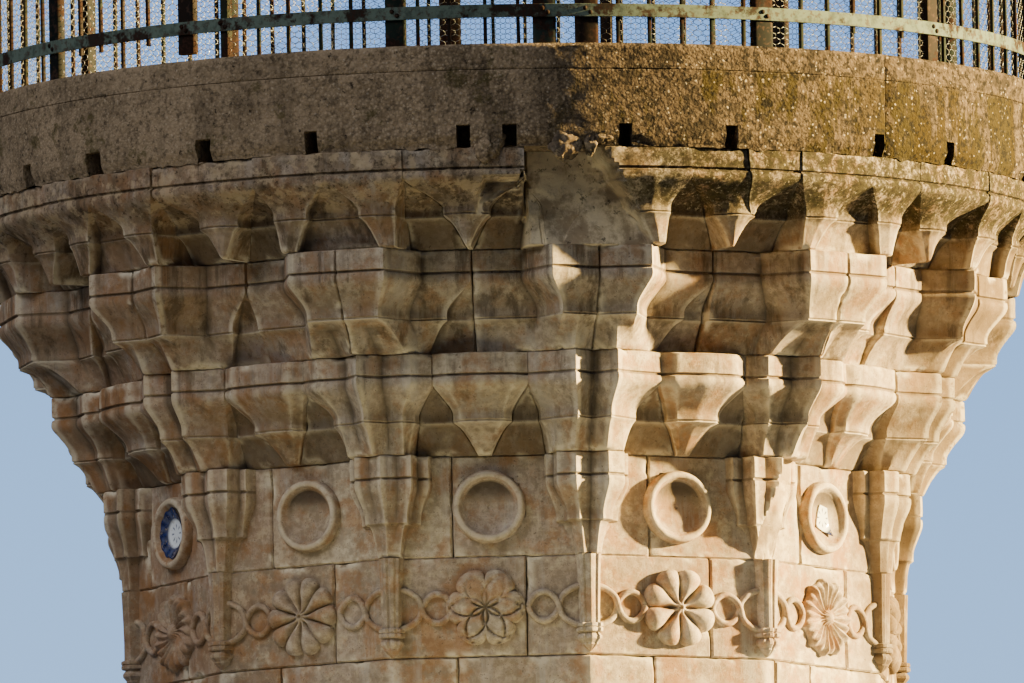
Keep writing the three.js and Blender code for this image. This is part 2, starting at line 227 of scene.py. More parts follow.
def limestone():
    """Dressed limestone, honey-coloured under a grey-brown weather skin that thickens towards
    the ring, with painted shade that makes it browner on the side away from the sun and darker
    on the faces turned to the key light. Bedding of 40 mm, grain of 20 mm, pits of 13 mm, dark
    runs, pale where the edges are chipped or freshly broken, painted highlights on ridges,
    painted bounce light on the plaster of a break, dirt and painted shade in grooves, hollows
    and niches, soot and lichen on the top tier."""
    material, tree, bsdf = new_material("weathered_limestone", **MINERAL)
    place = add(tree, "ShaderNodeTexCoord")["Object"]
    side, _, height = add(tree, "ShaderNodeSeparateXYZ", None, Vector=place)
    facing = add(tree, "ShaderNodeVectorMath", MULTIPLY, i0=place, i1=(1, 1, 0))[0]
    facing = add(tree, "ShaderNodeVectorMath", {"operation": "NORMALIZE"}, i0=facing)[0]
    facing = add(tree, "ShaderNodeSeparateXYZ", None, Vector=facing)[0]
    stone = add(tree, "ShaderNodeAttribute", {"attribute_name": "stone"})
    each, worn_and_highlight, dirt_and_shade = add(tree, "ShaderNodeSeparateColor", None, Color=stone["Color"])
    runs = add(tree, "ShaderNodeMapping", None, Vector=place, Scale=(1, 1, 0.11))[0]
    beds = add(tree, "ShaderNodeMapping", None, Vector=place, Scale=(1, 1, 6.5))[0]
    drift = add(tree, "ShaderNodeTexNoise", None, Vector=place, Scale=6.5, Detail=9.0,
                Roughness=0.72)[0]
    drift = add(tree, "ShaderNodeMath", MULTIPLY, i0=drift, i1=0.62)[0]
    drift = add(tree, "ShaderNodeMath", ADD, i0=drift, i1=height)[0]
    colour = coat(tree, linear("#b5a592"), [
        ("pale", each, 0.4, 1.0), ("brown", each, 0.5, 0.0), ("dirt_and_shade", dirt_and_shade, 0.0, 0.4),
        ("depth", dirt_and_shade, 0.35, 1.0), ("worn_and_highlight", worn_and_highlight, 0.0, 1.0),
        ("fresh", stone["Alpha"], 1.0, 0.0), ("clean", drift, 2.3, 2.45, 1.0, 0.2),
        ("upper", height, 0.7, 2.0, 0.2, 1.0), ("top", height, 1.5, 2.3),
        ("soot", drift, 2.32, 2.5), ("eave", height, 1.99, 2.1),
        ("left", side, -1.6, 0.9, 0.35, 1.0), ("right", side, 0.25, 0.8),
        ("away", side, 0.2, 0.7, 1.0, 0.0), ("painted_shade_brown", side, -0.4, -1.3),
        ("painted_shade_sunward", facing, 0.88, 0.98),
    ], [
        ("#9d8e76", place, 330, 0.38, 0.62, 1.0), ("#cfc2a6", place, 120, 0.1, 0.5, 0.5, "pale"),
        ("#83705a", place, 120, 0.1, 0.5, 0.5, "brown"), ("#6b5d4a", place, 26, 0.6, 0.42, 0.5),
        ("#cdbf9f", place, 60, 0.5, 0.66, 0.5), ("#8a785c", beds, 250, 0.45, 0.7, 0.35),
        ("#93612f", place, 170, 0.47, 0.6, 0.5), ("#aaa499", runs, 120, 0.5, 0.64, 0.55),
        # painted shade: browner on the side away from the sun
        ("#84572e", place, 200, 0.35, 0.55, 0.45, "painted_shade_brown"),
        # painted shade: darker on the faces turned to the key light
        ("#5f4d36", place, 150, 0.3, 0.55, 0.9, "painted_shade_sunward"),
        ("#6f5d45", place, 40, 0.35, 0.55, 0.6, "painted_shade_sunward"),
        # dirt and painted shade in grooves, hollows and niche backs
        ("#726450", place, 90, 0.2, 0.5, 0.6, "dirt_and_shade"),
        ("#473d30", runs, 90, 0.5, 0.64, 0.75, "upper"),
        ("#6b5942", place, 110, 0.38, 0.56, 0.5, "top"),
        ("#1d1710", place, 42, 0.47, 0.61, 0.8, "soot", "left"),
        ("#2b2812", place, 62, 0.38, 0.54, 0.92, "eave", "right"),
        ("#43352a", place, 13, 0.58, 0.66, 0.6),
        # pale on chipped edges (wear) and on ridges (painted highlight)
        ("#d8ccb0", place, 33, 0.3, 0.52, 0.8, "worn_and_highlight", "clean"),
        # painted shade, with dirt, deepest in hollows, grooves and niches
        ("#38302a", place, 60, 0.15, 0.4, 0.85, "depth"),
        ("#241f14", place, 14, 0.45, 0.58, 0.8, "eave", "right"),
        ("#281f16", place, 20, 0.54, 0.64, 0.7, "eave"),
        ("#bba682", place, 70, 0.5, 0.6, 0.5, "eave", "away"),
        ("#bfb294", place, 17, 0.56, 0.68, 0.55, "eave", "right"),
        # fresh breaks painted pale; on the plaster this also stands for painted bounce light
        ("#e4d3ae", place, 75, 0.2, 0.45, 0.97, "fresh"),
        ("#76593c", place, 170, 0.44, 0.58, 0.6, "fresh"),
        ("#2c2118", place, 40, 0.58, 0.64, 0.7, "fresh"),
    ])
    grain = add(tree, "ShaderNodeTexNoise", None, Vector=place, Scale=48.0, Detail=12.0,
                Roughness=0.8)[0]
    relief = add(tree, "ShaderNodeBump", None, Strength=0.85, Distance=0.005, Height=grain)[0]
    link(tree, bsdf, Base_Color=colour, Normal=relief)
    return material


def concrete():
    """Weathered concrete with its gravel laid bare: pebbles of about 12 mm in grey-brown mortar,
    ochre lichen and dark pores on the sunny side, dark runs on the other. The sunny face is
    painted darker all over, partly lichen and partly painted shade, and the pebbles lose
    contrast towards the shaded side as painted shade."""
    material, tree, bsdf = new_material("exposed_aggregate_concrete", **MINERAL)
    place = add(tree, "ShaderNodeTexCoord")["Object"]
    side, _, height = add(tree, "ShaderNodeSeparateXYZ", None, Vector=place)
    reach = add(tree, "ShaderNodeVectorMath", MULTIPLY, i0=place, i1=(1, 1, 0))[0]
    reach = add(tree, "ShaderNodeVectorMath", {"operation": "LENGTH"}, i0=reach)["Value"]
    uneven = add(tree, "ShaderNodeTexNoise", None, Vector=place, Scale=60.0)[1]
    uneven = add(tree, "ShaderNodeVectorMath", {"operation": "SCALE"}, i0=uneven,
                 Scale=0.012)[0]
    uneven = add(tree, "ShaderNodeVectorMath", ADD, i0=place, i1=uneven)[0]
    pebble = add(tree, "ShaderNodeTexVoronoi", None, Vector=uneven, Scale=82.0)
    grey, bright, _ = add(tree, "ShaderNodeSeparateColor", None, Color=pebble["Color"])
    runs = add(tree, "ShaderNodeMapping", None, Vector=place, Scale=(1, 1, 0.25))[0]
    colour = coat(tree, linear("#7f6d54"), [
        ("grey", grey, 0.0, 1.0), ("bright", bright, 0.8, 0.95),
        ("middle", pebble["Distance"], 0.5, 0.2), ("between", pebble["Distance"], 0.25, 0.7),
        ("sunny", side, 0.05, 0.6), ("face", reach, 2.0, 2.09),
        ("lit", side, -0.9, 0.5, 0.45, 1.0), ("far", side, 1.1, 1.7),
        ("below", height, CURB_TOP - 0.07, CURB_TOP - 0.12),
        ("shady", side, -0.3, 0.3, 0.55, 1.0),
    ], [
        # painted shade: the pebbles lose contrast towards the shaded side, here and in the last
        # stain
        ("#a99679", place, 60, 0.0, 0.1, 1.0, "grey", "lit"),
        ("#544635", place, 60, 0.0, 0.1, 0.75, "between", "lit"),
        ("#a08b6e", place, 220, 0.42, 0.6, 0.5), ("#3a3126", place, 24, 0.5, 0.62, 0.6),
        ("#352c20", runs, 140, 0.5, 0.62, 0.6, "shady"),
        ("#3b3610", place, 160, 0.57, 0.63, 0.6, "face"),
        ("#17120d", place, 32, 0.6, 0.66, 0.85, "face"),
        # painted shade with lichen: the whole sunny face darker
        ("#463b2e", place, 500, 0.0, 0.1, 0.85, "sunny", "face"),
        ("#221d16", place, 70, 0.47, 0.6, 0.8, "sunny", "face"),
        ("#2c2508", runs, 300, 0.49, 0.53, 0.92, "sunny", "face", "below"),
        ("#2f2506", runs, 220, 0.48, 0.52, 0.92, "far", "face", "below"),
        ("#0e0c09", place, 22, 0.48, 0.58, 0.85, "sunny", "face"),
        ("#b5a993", place, 60, 0.4, 0.56, 0.6, "bright", "middle", "lit"),
    ])
    coarse = add(tree, "ShaderNodeTexNoise", None, Vector=place, Scale=70.0, Detail=9.0,
                 Roughness=0.8)[0]
    coarse = add(tree, "ShaderNodeMath", SUBTRACT, i0=coarse, i1=pebble["Distance"])[0]
    relief = add(tree, "ShaderNodeBump", None, Strength=0.6, Distance=0.006, Height=coarse)[0]
    link(tree, bsdf, Base_Color=colour, Normal=relief)
    return material


def painted_steel():
    """Mild steel bar under old oil paint, each bar its own green, flaking to brown rust in
    patches of 200 mm with flakes of 11 mm."""
    material, tree, bsdf = new_material("rusted_painted_steel", Metallic=0.0, IOR=1.5,
                                         Specular_IOR_Level=0.08)
    place = add(tree, "ShaderNodeTexCoord")["Object"]
    paint = add(tree, "ShaderNodeAttribute", {"attribute_name": "paint"})[0]
    flakes = add(tree, "ShaderNodeTexNoise", None, Vector=place, Scale=90.0, Detail=4.0)[0]
    gone = add(tree, "ShaderNodeTexNoise", None, Vector=place, Scale=5.0, Detail=8.0,
               Roughness=0.7)[0]
    gone = add(tree, "ShaderNodeMapRange", FADE, i0=gone, i1=0.51, i2=0.57)[0]
    colour = stain(tree, paint, "#0f1210", place, 40, 0.45, 0.65, 0.5)
    colour = stain(tree, colour, "#3c2c22", place, 30, 0.52, 0.6, 0.7)
    colour = stain(tree, colour, "#221711", place, 11, 0.0, 0.1, 0.9, (gone,))
    colour = stain(tree, colour, "#33211a", place, 11, 0.45, 0.6, 0.9, (gone,))
    rough = add(tree, "ShaderNodeMapRange", FADE, i0=gone, i3=0.75, i4=0.95)[0]
    relief = add(tree, "ShaderNodeBump", None, Strength=0.4, Distance=0.001, Height=flakes)[0]
    link(tree, bsdf, Base_Color=colour, Roughness=rough, Normal=relief)
    return material


def galvanised_wire():
    """Zinc-coated netting wire, dulled to a mid grey and browned where the zinc is gone."""
    material, tree, bsdf = new_material("galvanised_netting", Metallic=0.8, Roughness=0.55)
    place = add(tree, "ShaderNodeTexCoord")["Object"]
    colour = stain(tree, linear("#7c8182"), "#5a4d42", place, 125, 0.4, 0.65, 1.0)
    link(tree, bsdf, Base_Color=colour)
    return material


def glazed_plate():
    """White tin glaze with a brushed cobalt rim, its strokes 17 mm long: glossy and crazed."""
    material, tree, bsdf = new_material("blue_and_white_glaze", Roughness=0.12, IOR=1.5)
    ring = add(tree, "ShaderNodeAttribute", {"attribute_name": "ring"})[0]
    blue = add(tree, "ShaderNodeSeparateColor", None, Color=ring)[0]
    place = add(tree, "ShaderNodeTexCoord")["Object"]
    cobalt = stain(tree, linear("#0b1238"), "#1d2f68", place, 17, 0.4, 0.7, 1.0)
    colour = add(tree, "ShaderNodeMix", LAY, i0=blue, i6=linear("#d9dddd"), i7=cobalt)[2]
    colour = stain(tree, colour, "#9b8c74", place, 25, 0.56, 0.66, 0.6)
    link(tree, bsdf, Base_Color=colour)
    return material


STONE = limestone()
CONCRETE = concrete()
STEEL = painted_steel()
WIRE = galvanised_wire()
GLAZE = glazed_plate()


# meshes

def new_object(name, data):
    """Puts a mesh, a lamp or a camera in the scene."""
    made = bpy.data.objects.new(name, data)
    bpy.context.scene.collection.objects.link(made)
    return made


def mesh_object(name, bm, material):
    mesh = bpy.data.meshes.new(name)
    bm.to_mesh(mesh)
    bm.free()
    mesh.materials.append(material)
    return new_object(name, mesh)


def finish_mesh(name, bm, material, nodes=(), crease=32, recalc=True):
    """Makes a bmesh a piece of the object, riding on its one body."""
    if recalc:
        bmesh.ops.recalc_face_normals(bm, faces=bm.faces)
    bm.normal_update()
    limit = math.radians(crease)
    for face in bm.faces:
        face.smooth = True
    for edge in bm.edges:
        edge.smooth = len(edge.link_faces) == 2 and edge.calc_face_angle(0) < limit
    piece = mesh_object(name, bm, material)
    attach(piece, "root")
    if nodes:
        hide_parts(*nodes)


def verts_of(geom):
    return [g for g in geom if isinstance(g, bmesh.types.BMVert)]


def edges_of(geom):
    return [g for g in geom if isinstance(g, bmesh.types.BMEdge)]


def whole(bm):
    return bm.verts[:] + bm.edges[:] + bm.faces[:]


def rotate(bm, verts, angle, axis="Z"):
    """Turns vertices about an axis through the origin."""
    bmesh.ops.rotate(bm, verts=verts, cent=(0, 0, 0),
                     matrix=Matrix.Rotation(math.radians(angle), 3, axis))


def set_round(bm, verts, angle, radius, z):
    """Carries what was made at the origin, facing -Y, to its bearing, radius and height."""
    bmesh.ops.translate(bm, verts=verts, vec=(0, -radius, z))
    rotate(bm, verts, angle)


def paint(bm, verts, layer, colour):
    """Gives vertices one colour in a colour layer."""
    layer = bm.verts.layers.float_color[layer]
    for vert in verts:
        vert[layer] = colour


def spin(bm, geom, axis, angle, steps, **options):
    return bmesh.ops.spin(bm, geom=geom, cent=(0, 0, 0), axis=axis, dvec=(0, 0, 0),
                          angle=math.radians(angle), steps=steps, **options)


def skin(bm, rings):
    """A closed body through rings of points, and its vertices."""
    ring = [bm.verts.new(point) for point in rings[0]]
    first = loop = [bm.edges.new(pair) for pair in zip(ring, ring[1:] + ring[:1])]
    verts = list(ring)
    for points in rings[1:]:
        made = bmesh.ops.extrude_edge_only(bm, edges=loop)["geom"]
        loop = [edge for edge in edges_of(made) if edge.is_boundary]
        new = set(verts_of(made))
        ring = [next(e.other_vert(v) for e in v.link_edges if e.other_vert(v) in new)
                for v in ring]
        for vert, point in zip(ring, points):
            vert.co = point
        verts += ring
    for end in (first, loop):
        bmesh.ops.contextual_create(bm, geom=end)
    return verts


def new_stone_mesh():
    bm = bmesh.new()
    bm.verts.layers.float_color.new("stone")
    return bm


def resample(rows, spacing, arris):
    """Each row's plan points, with as many added between two as the longest stretch needs."""
    count = len(rows[0][1])
    columns = []
    for i in range(count - 1):
        reach = max((outline[i + 1] - outline[i]).length for _, outline, _ in rows)
        steps = max(1, round(reach / spacing))
        shares = [k / steps for k in range(steps)]
        near = min(0.3, arris / max(reach, arris))
        if i == 0:
            shares.insert(1, near)
        if i == count - 2:
            shares.append(1 - near)
        columns += [(i, share) for share in sorted(set(shares))]
    columns.append((count - 2, 1.0))
    return columns


# Where the masonry is broken: the bearings between which it is, at the top and at the foot,
# the foot and the top, over what height it fades in at each, the radius that is left at
# each, how rough it is, and whether it is plastered over, from a joint on its left. The
# other edges of each are ragged.
BREAKS = [
    ((4.9, 13.1), (4.9, 19.3), TIER_3_TOP, TIER_4_TOP, 0, 0, 1.945, 1.9, 0.008, True),
    ((43.4, 50.5), (40.4, 50.5), FRIEZE_TOP, TIER_1_TOP, 0.03, 0, 1.505, 1.55, 0.006, False),
    ((0.5, 4.5), (-1.0, 4.5), TIER_3_TOP + 0.09, TIER_3_TOP + 0.25, 0.08, 0.08, 2.0, 2.0,
     0.02, False),
    ((24.5, 27.0), (23.5, 26.5), TIER_2_TOP + 0.31, TIER_3_TOP, 0.08, 0, 1.86, 1.86, 0.02,
     False),
]
FRAY = 0.1                # how far the edge of a break wanders, as a share of half its width
FADE_IN = 0.12


def broken(point, z):
    """The point, cut back where the masonry is broken, and how freshly broken it is."""
    angle = bearing(point)
    radius = point.length
    fresh = 0.0
    for at_top, at_foot, foot, top, rise, drop, low_left, top_left, rough, plaster in BREAKS:
        if not foot <= z <= top + 0.0001:
            continue
        share = (z - foot) / (top - foot)
        low = mix(at_foot[0], at_top[0], share)
        high = mix(at_foot[1], at_top[1], share)
        across = 1 - abs(turn_between(angle, (low + high) / 2)) / ((high - low) / 2)
        if plaster:
            across = 2 * (high - angle) / (high - low)
        if across < -2 * FRAY or plaster and angle < low:
            continue
        up = min((z - foot) / rise if rise else 1, (top - z) / drop if drop else 1)
        place = Vector((point.x, point.y, z))
        edge = min(across, up) + FRAY * noise.fractal(place * 5, 0.6, 2.2, 3)
        if edge > 0:
            limit = mix(low_left, top_left, share)
            limit += rough * noise.fractal(place * 8, 0.7, 2.2, 4)
            if plaster:
                limit -= 0.07 * (1 - smooth((angle - low) / 0.6))
            if limit < radius or plaster:
                radius = mix(radius, limit, smooth(edge / FADE_IN))
                fresh = smooth(edge / FADE_IN) * (1 if plaster else min(1, max(
                    0, 0.5 + 0.9 * noise.fractal(place * 6, 0.6, 2.2, 3))))
    return point.normalized() * radius, fresh


WAVE = 0.0024             # height of the waves on a stone's face, of about 80 mm
DINT = 0.0014             # and of the dints of about 27 mm on them
WORN_BAND = 0.04          # how far in from its edges a stone is bleached where it is chipped
SPACING = 0.018           # between the points of a stone's face
ARRIS = 0.007             # how far its edges are rounded
FINE_ARRIS = 0.0045


def block(bm, rows, spacing=SPACING, back=None, wear=1.0, tone=None, arris=ARRIS):
    """One stone: its face runs through the rows, from the top down, and its back lies on the
    bore or on a cylinder. A row is a height, its plan points and how dark it is painted, with
    dirt and painted shade."""
    layer = bm.verts.layers.float_color["stone"]
    tone = dice.random() if tone is None else tone
    lean = dice.uniform(-0.004, 0.002) * wear
    shift = Vector((dice.uniform(-50, 50), dice.uniform(-50, 50), dice.uniform(-50, 50)))
    columns = resample(rows, spacing, arris)
    wide = len(columns)
    tall = len(rows)
    grid = bmesh.ops.create_grid(bm, x_segments=wide - 1, y_segments=tall - 1, size=1)["verts"]
    top = rows[0][0]
    foot = rows[-1][0]
    for j, (z, outline, dirt_and_shade) in enumerate(rows):
        line = [outline[i].lerp(outline[i + 1], share) for i, share in columns]
        run = [0.0]
        for a, b in zip(line, line[1:]):
            run.append(run[-1] + (b - a).length)
        for i, point in enumerate(line):
            vert = grid[j * wide + i]
            edge = min(run[i], run[-1] - run[i], top - z, z - foot)
            place = Vector((point.x, point.y, z))
            chip = max(0.0, noise.fractal(place * 9 + shift, 0.6, 2.1, 3) - 0.1)
            round_off = arris * wear * (1 + 5 * chip)
            inset = 0.0
            if edge < round_off:
                inset = round_off - math.sqrt(max(0, round_off ** 2 - (round_off - edge) ** 2))
            worn_and_highlight = min(1.0, 3.5 * chip) * (1 - smooth(edge / WORN_BAND))
            inset -= lean + wear * (WAVE * noise.noise(place * 13)
                                    + DINT * noise.noise(place * 37))
            point, fresh = broken(point.normalized() * (point.length - inset), z)
            vert.co = (point.x, point.y, z)
            vert[layer] = (tone, worn_and_highlight, dirt_and_shade * (1 - fresh), 1 - fresh)
    weather(grid, layer, wide, tall)
    rim = list(dict.fromkeys(e for v in grid for e in v.link_edges if e.is_boundary))
    made = bmesh.ops.extrude_edge_only(bm, edges=rim)["geom"]
    for vert in verts_of(made):
        angle = bearing(vert.co)
        vert.co.xy = polar(angle, back or flat_radius(BORE, angle))
        vert[layer] = (tone, 0, 0.5, 1)
    bmesh.ops.contextual_create(bm, geom=[e for e in edges_of(made) if e.is_boundary])
    return grid


RIDGE = 0.01              # how far a ridge stands out of its surroundings to be painted pale, as wear and as a painted highlight
# how far a hollow lies back to be painted dark, with dirt and painted shade
HOLLOW = 0.012


def weather(grid, layer, wide, tall):
    """Pale on what stands out of its surroundings, as wear and as a painted highlight, and dark
    in what lies back, as dirt and as painted shade.
    """
    out = [[grid[j * wide + i].co.xy.length for i in range(wide)] for j in range(tall)]
    for j in range(tall):
        for i in range(wide):
            around = (out[j][max(i - 2, 0)] + out[j][min(i + 2, wide - 1)]) / 2
            across = out[j][i] - around
            upright = out[j][i] - (out[max(j - 2, 0)][i] + out[min(j + 2, tall - 1)][i]) / 2
            stands = across if 1 < i < wide - 2 else 0
            stands += 0.5 * upright if 1 < j < tall - 2 else 0
            tone, worn_and_highlight, dirt_and_shade, sound = grid[j * wide + i][layer]
            worn_and_highlight = max(worn_and_highlight, 0.6 * smooth(stands / RIDGE))
            dirt_and_shade = max(dirt_and_shade, 0.7 * smooth(-stands / HOLLOW) * sound)
            grid[j * wide + i][layer] = (tone, worn_and_highlight, dirt_and_shade, sound)


# the profile of a corbel course: share of its height, how far its plan has gone from the
# top outline to the middle one, from there to the low one, and a groove's depth

FASCIA = 0.22
STEP = 0.66
GROOVE = 0.009
CYMA_STEPS = 16
TIP_STEPS = 8
TIP_CURVE = 0.65          # below 1 the sides of the tip are hollow


def cyma(t):
    """How far in the curve has come: it swells under the fascia, falls back, then hangs."""
    return smooth((t - 0.06) / 0.84) - 0.05 * math.sin(math.pi * min(1, t / 0.36))


def corbel_profile(height, ledge=0.01):
    """Rows from the top down: share of the height, the two steps of the plan, the depth of a
    groove and how dark the row is painted, with dirt and with painted shade in the groove, under
    the step and down the hollow of the cyma. The plan draws in by the ledge under the step."""
    lip = 0.005 / height
    rows = [(0, 0, 0, 0, 0.1), (lip, 0, 0, 0, 0)]
    rows += [(FASCIA * k / 5, 0, 0, 0, 0) for k in range(1, 5)]
    rows += [(FASCIA - lip, 0, 0, 0, 0), (FASCIA, 0, 0, GROOVE, 0.6),
             (FASCIA + lip, 0, 0, GROOVE, 0.5)]
    start = FASCIA + 2 * lip
    for k in range(CYMA_STEPS + 1):
        share = k / CYMA_STEPS
        rows.append((mix(start, STEP, share), cyma(share), 0, 0, 0.05 + 0.22 * share))
    rows += [(STEP + lip, 1, 0, GROOVE * 0.8, 0.55), (STEP + 2 * lip, 1, ledge, 0.003, 0.35)]
    for k in range(1, TIP_STEPS + 1):
        share = k / TIP_STEPS
        rows.append((mix(STEP + 2 * lip, 1, share), 1, mix(ledge, 1, share ** TIP_CURVE),
                     0.003 * (1 - share), 0.12))
    rows.insert(-1, (1 - lip, 1, mix(ledge, 1, (1 - lip / (1 - STEP)) ** TIP_CURVE), 0, 0.12))
    return rows


def scaled(half):
    return [(along * MM, out * MM) for along, out in half]


def mirrored(half):
    return [(-along, out) for along, out in reversed(half) if along > 0] + list(half)


def shape_at(levels, to_middle, to_low):
    """A half outline between its top, middle and low ones."""
    points = []
    for top, middle, low in zip(*levels):
        if to_low > 0:
            points.append([mix(m, b, to_low) for m, b in zip(middle, low)])
        else:
            points.append([mix(t, m, to_middle) for t, m in zip(top, middle)])
    return points


# Half outlines of the corbels at the top, the middle and the foot of each course, in mm:
# along the face from its middle, and out from the axis. Kind a stands over the corners
# with one ridge, kind b over those with two, and kind m over the middles of the sides.
TIER_2 = {
    "a": ([(0, 1812), (75, 1724), (190, 1724), (248, 1672)],
          [(0, 1735), (68, 1655), (130, 1655), (165, 1610)],
          [(0, 1640), (57, 1605), (114, 1600), (120, 1560)]),
    "b": ([(0, 1727), (83, 1798), (143, 1742), (248, 1672)],
          [(0, 1670), (66, 1735), (118, 1680), (185, 1605)],
          [(0, 1605), (64, 1638), (137, 1590), (142, 1560)]),
    "m": ([(0, 1716), (132, 1702), (183, 1668)],
          [(0, 1626), (84, 1612), (112, 1580)],
          [(0, 1500), (20, 1496), (26, 1486)]),
    "niche": (1650, 1560, 1478),
}
TIER_4 = {
    "a": ([(0, 2112), (5, 2112), (9, 2112), (170, 2104), (309, 2088)],
          [(0, 1985), (96, 1985), (106, 2036), (172, 2040), (246, 2012)],
          [(0, 1926), (158, 1926), (168, 1976), (206, 1984), (232, 1972)]),
    "m": ([(0, 2106), (110, 2101), (233, 2090)],
          [(0, 2022), (50, 2012), (88, 1985)],
          [(0, 1968), (5, 1964), (9, 1956)]),
    "niche": (2075, 1900, 1800),
}
TIER_4["b"] = TIER_4["a"]
TIER_3 = {
    "a": ([(0, 1980), (80, 1980), (194, 1978), (282, 1790)],
          [(0, 1914), (75, 1914), (145, 1910), (215, 1740)],
          [(0, 1822), (75, 1730), (190, 1730), (232, 1684)]),
    "b": ([(0, 1925), (83, 1950), (194, 1978), (282, 1790)],
          [(0, 1864), (75, 1886), (145, 1910), (215, 1740)],
          [(0, 1732), (83, 1806), (143, 1748), (232, 1684)]),
    "joint": (1800, 1745, 1640), "wing": (4, 100, 178), "niche": (1794, 1705, 1625),
}

# how far the masons set each stone off its true bearing, where the front shows it
ASKEW_2 = {-15: -1.0, 0: -0.9, 15: -1.2, -30: -1.4, 30: -0.6}
ASKEW_3 = {-15: -1.5, 15: -1.4, 45: -0.5, -45: -0.7}
ASKEW_4 = {-15: -1.2, 0: -1.5, 15: -0.9, 30: -0.8, -30: -0.9, 45: -0.4}
COURSE_ASKEW = {2: -0.9, 3: -1.0, 4: -1.1}
# niche backs are painted at least this dark: dirt and painted shade in the recess
NICHE_DIRT_AND_SHADE = 0.62
CRACKED = (4, 30)         # the tier and bearing of the pendant that is cracked in two
CRACK = 0.002
CRACK_LEAN = 0.056        # how far the crack has moved off the middle at the step


class Course:
    """The stones of one course, gathered in six lengths that stand for the CAD ones."""

    def __init__(self, name, node, first):
        self.name = name
        self.node = node
        self.first = first
        self.lengths = [new_stone_mesh() for _ in range(SEGMENTS)]

    def at(self, angle):
        return self.lengths[int(((angle - self.first) % 360) // TURN)]

    def finish(self):
        for i, bm in enumerate(self.lengths):
            finish_mesh(f"{self.name}_{i + 1}", bm, STONE,
                        [f"{self.node}_{i + 1}"])


def three(levels, to_middle, to_low):
    """A single size between its top, middle and low values, in metres."""
    top, middle, low = (v * MM for v in levels)
    return mix(middle, low, to_low) if to_low > 0 else mix(top, middle, to_middle)


def stretch(line, low, high):
    """Nine evenly spaced points of a plan line, between two places along it."""
    points = []
    for k in range(9):
        along = mix(low, high, k / 8)
        after = next((i for i in range(1, len(line) - 1) if line[i][0] >= along),
                     len(line) - 1)
        (a, out_a), (b, out_b) = line[after - 1], line[after]
        points.append((along, mix(out_a, out_b, (along - a) / max(b - a, 1e-6))))
    return points


def crack(rows, tip_from):
    """Splits a pendant's rows of plan points in two along a leaning crack, which leaves the
    whole tip on the left-hand stone."""
    left = []
    right = []
    for down, line, dirt_and_shade in rows:
        face = line[1:-1]
        inner = line[0][1]
        low, high = face[0][0], face[-1][0]
        at = CRACK_LEAN * (down / tip_from) ** 2
        if down > tip_from:
            left.append((down, line[:1] + stretch(face, low, high) + line[-1:], dirt_and_shade))
            continue
        left.append((down, line[:1] + stretch(face, low, at - CRACK) + [(at - CRACK, inner)],
                     dirt_and_shade))
        right.append((down, [(at + CRACK, inner)] + stretch(face, at + CRACK, high)
                      + line[-1:], dirt_and_shade))
    return left, right


def set_out(step, askew, number, spread):
    """The bearings of the stones of a course, each a little off its place."""
    angles = []
    for nominal in range(-15, 345, step):
        off = COURSE_ASKEW[number] + dice.uniform(-spread, spread)
        angles.append(nominal + askew.get(turn_between(nominal, 0), off))
    return angles


def corbel_course(shapes, top, bottom, number, askew, wear, arris):
    """Pendants of kind m, wide corbels that fill the room between them, and the back of a
    niche between each two."""
    course = Course(f"corbel_tier_{number}_stones", f"corbel_tier_{number}",
                    -23.4 + COURSE_ASKEW[number])
    height = top - bottom - GAP
    profile = corbel_profile(height)
    slit = 0.0015
    angles = set_out(15, askew, number, 0.35)
    kinds = ["a", "m", "b", "m"] * 6
    pendant_end, pendant_out = scaled(shapes["m"][0])[-1]
    pendant_half = math.degrees(math.atan2(pendant_end + slit, pendant_out))
    halves = []
    for k, angle in enumerate(angles):
        pair = []
        for neighbour in (angles[k - 1], angles[(k + 1) % 24]):
            levels = [scaled(level) for level in shapes[kinds[k]]]
            if kinds[k] != "m":
                room = abs(turn_between(neighbour, angle)) - pendant_half
                out = levels[0][-1][1]
                levels[0][-1] = (out * math.tan(math.radians(room)) - slit, out)
            pair.append(levels)
        halves.append(pair)
    for k, angle in enumerate(angles):
        rows = []
        for down, to_middle, to_low, groove, dirt_and_shade in profile:
            left, right = (shape_at(levels, to_middle, to_low) for levels in halves[k])
            inner = three(shapes["niche"], to_middle, to_low) - 0.03
            line = [(-left[-1][0], inner)]
            line += [(-along, out - groove) for along, out in reversed(left) if along > 0]
            line += [(along, out - groove) for along, out in right] + [(right[-1][0], inner)]
            rows.append((down, line, dirt_and_shade))
        cracked = (number, -15 + 15 * k) == CRACKED
        for part in crack(rows, STEP) if cracked else [rows]:
            block(course.at(angle), [(top - height * down, [local(angle, *p) for p in line],
                                      dirt_and_shade) for down, line, dirt_and_shade in part],
                  wear=wear, arris=arris)
        next_angle = angles[(k + 1) % 24] + (360 if k == 23 else 0)
        rows = []
        for down, to_middle, to_low, groove, dirt_and_shade in profile:
            niche = three(shapes["niche"], to_middle, to_low)
            here = shape_at(halves[k][1], to_middle, to_low)[-1][0]
            there = shape_at(halves[(k + 1) % 24][0], to_middle, to_low)[-1][0]
            rows.append((top - height * down, [local(angle, here + 0.001, niche),
                                               local(next_angle, -there - 0.001, niche)],
                         max(NICHE_DIRT_AND_SHADE, dirt_and_shade)))
        block(course.at((angle + next_angle) / 2), rows, tone=dice.random() * 0.5)
    course.finish()


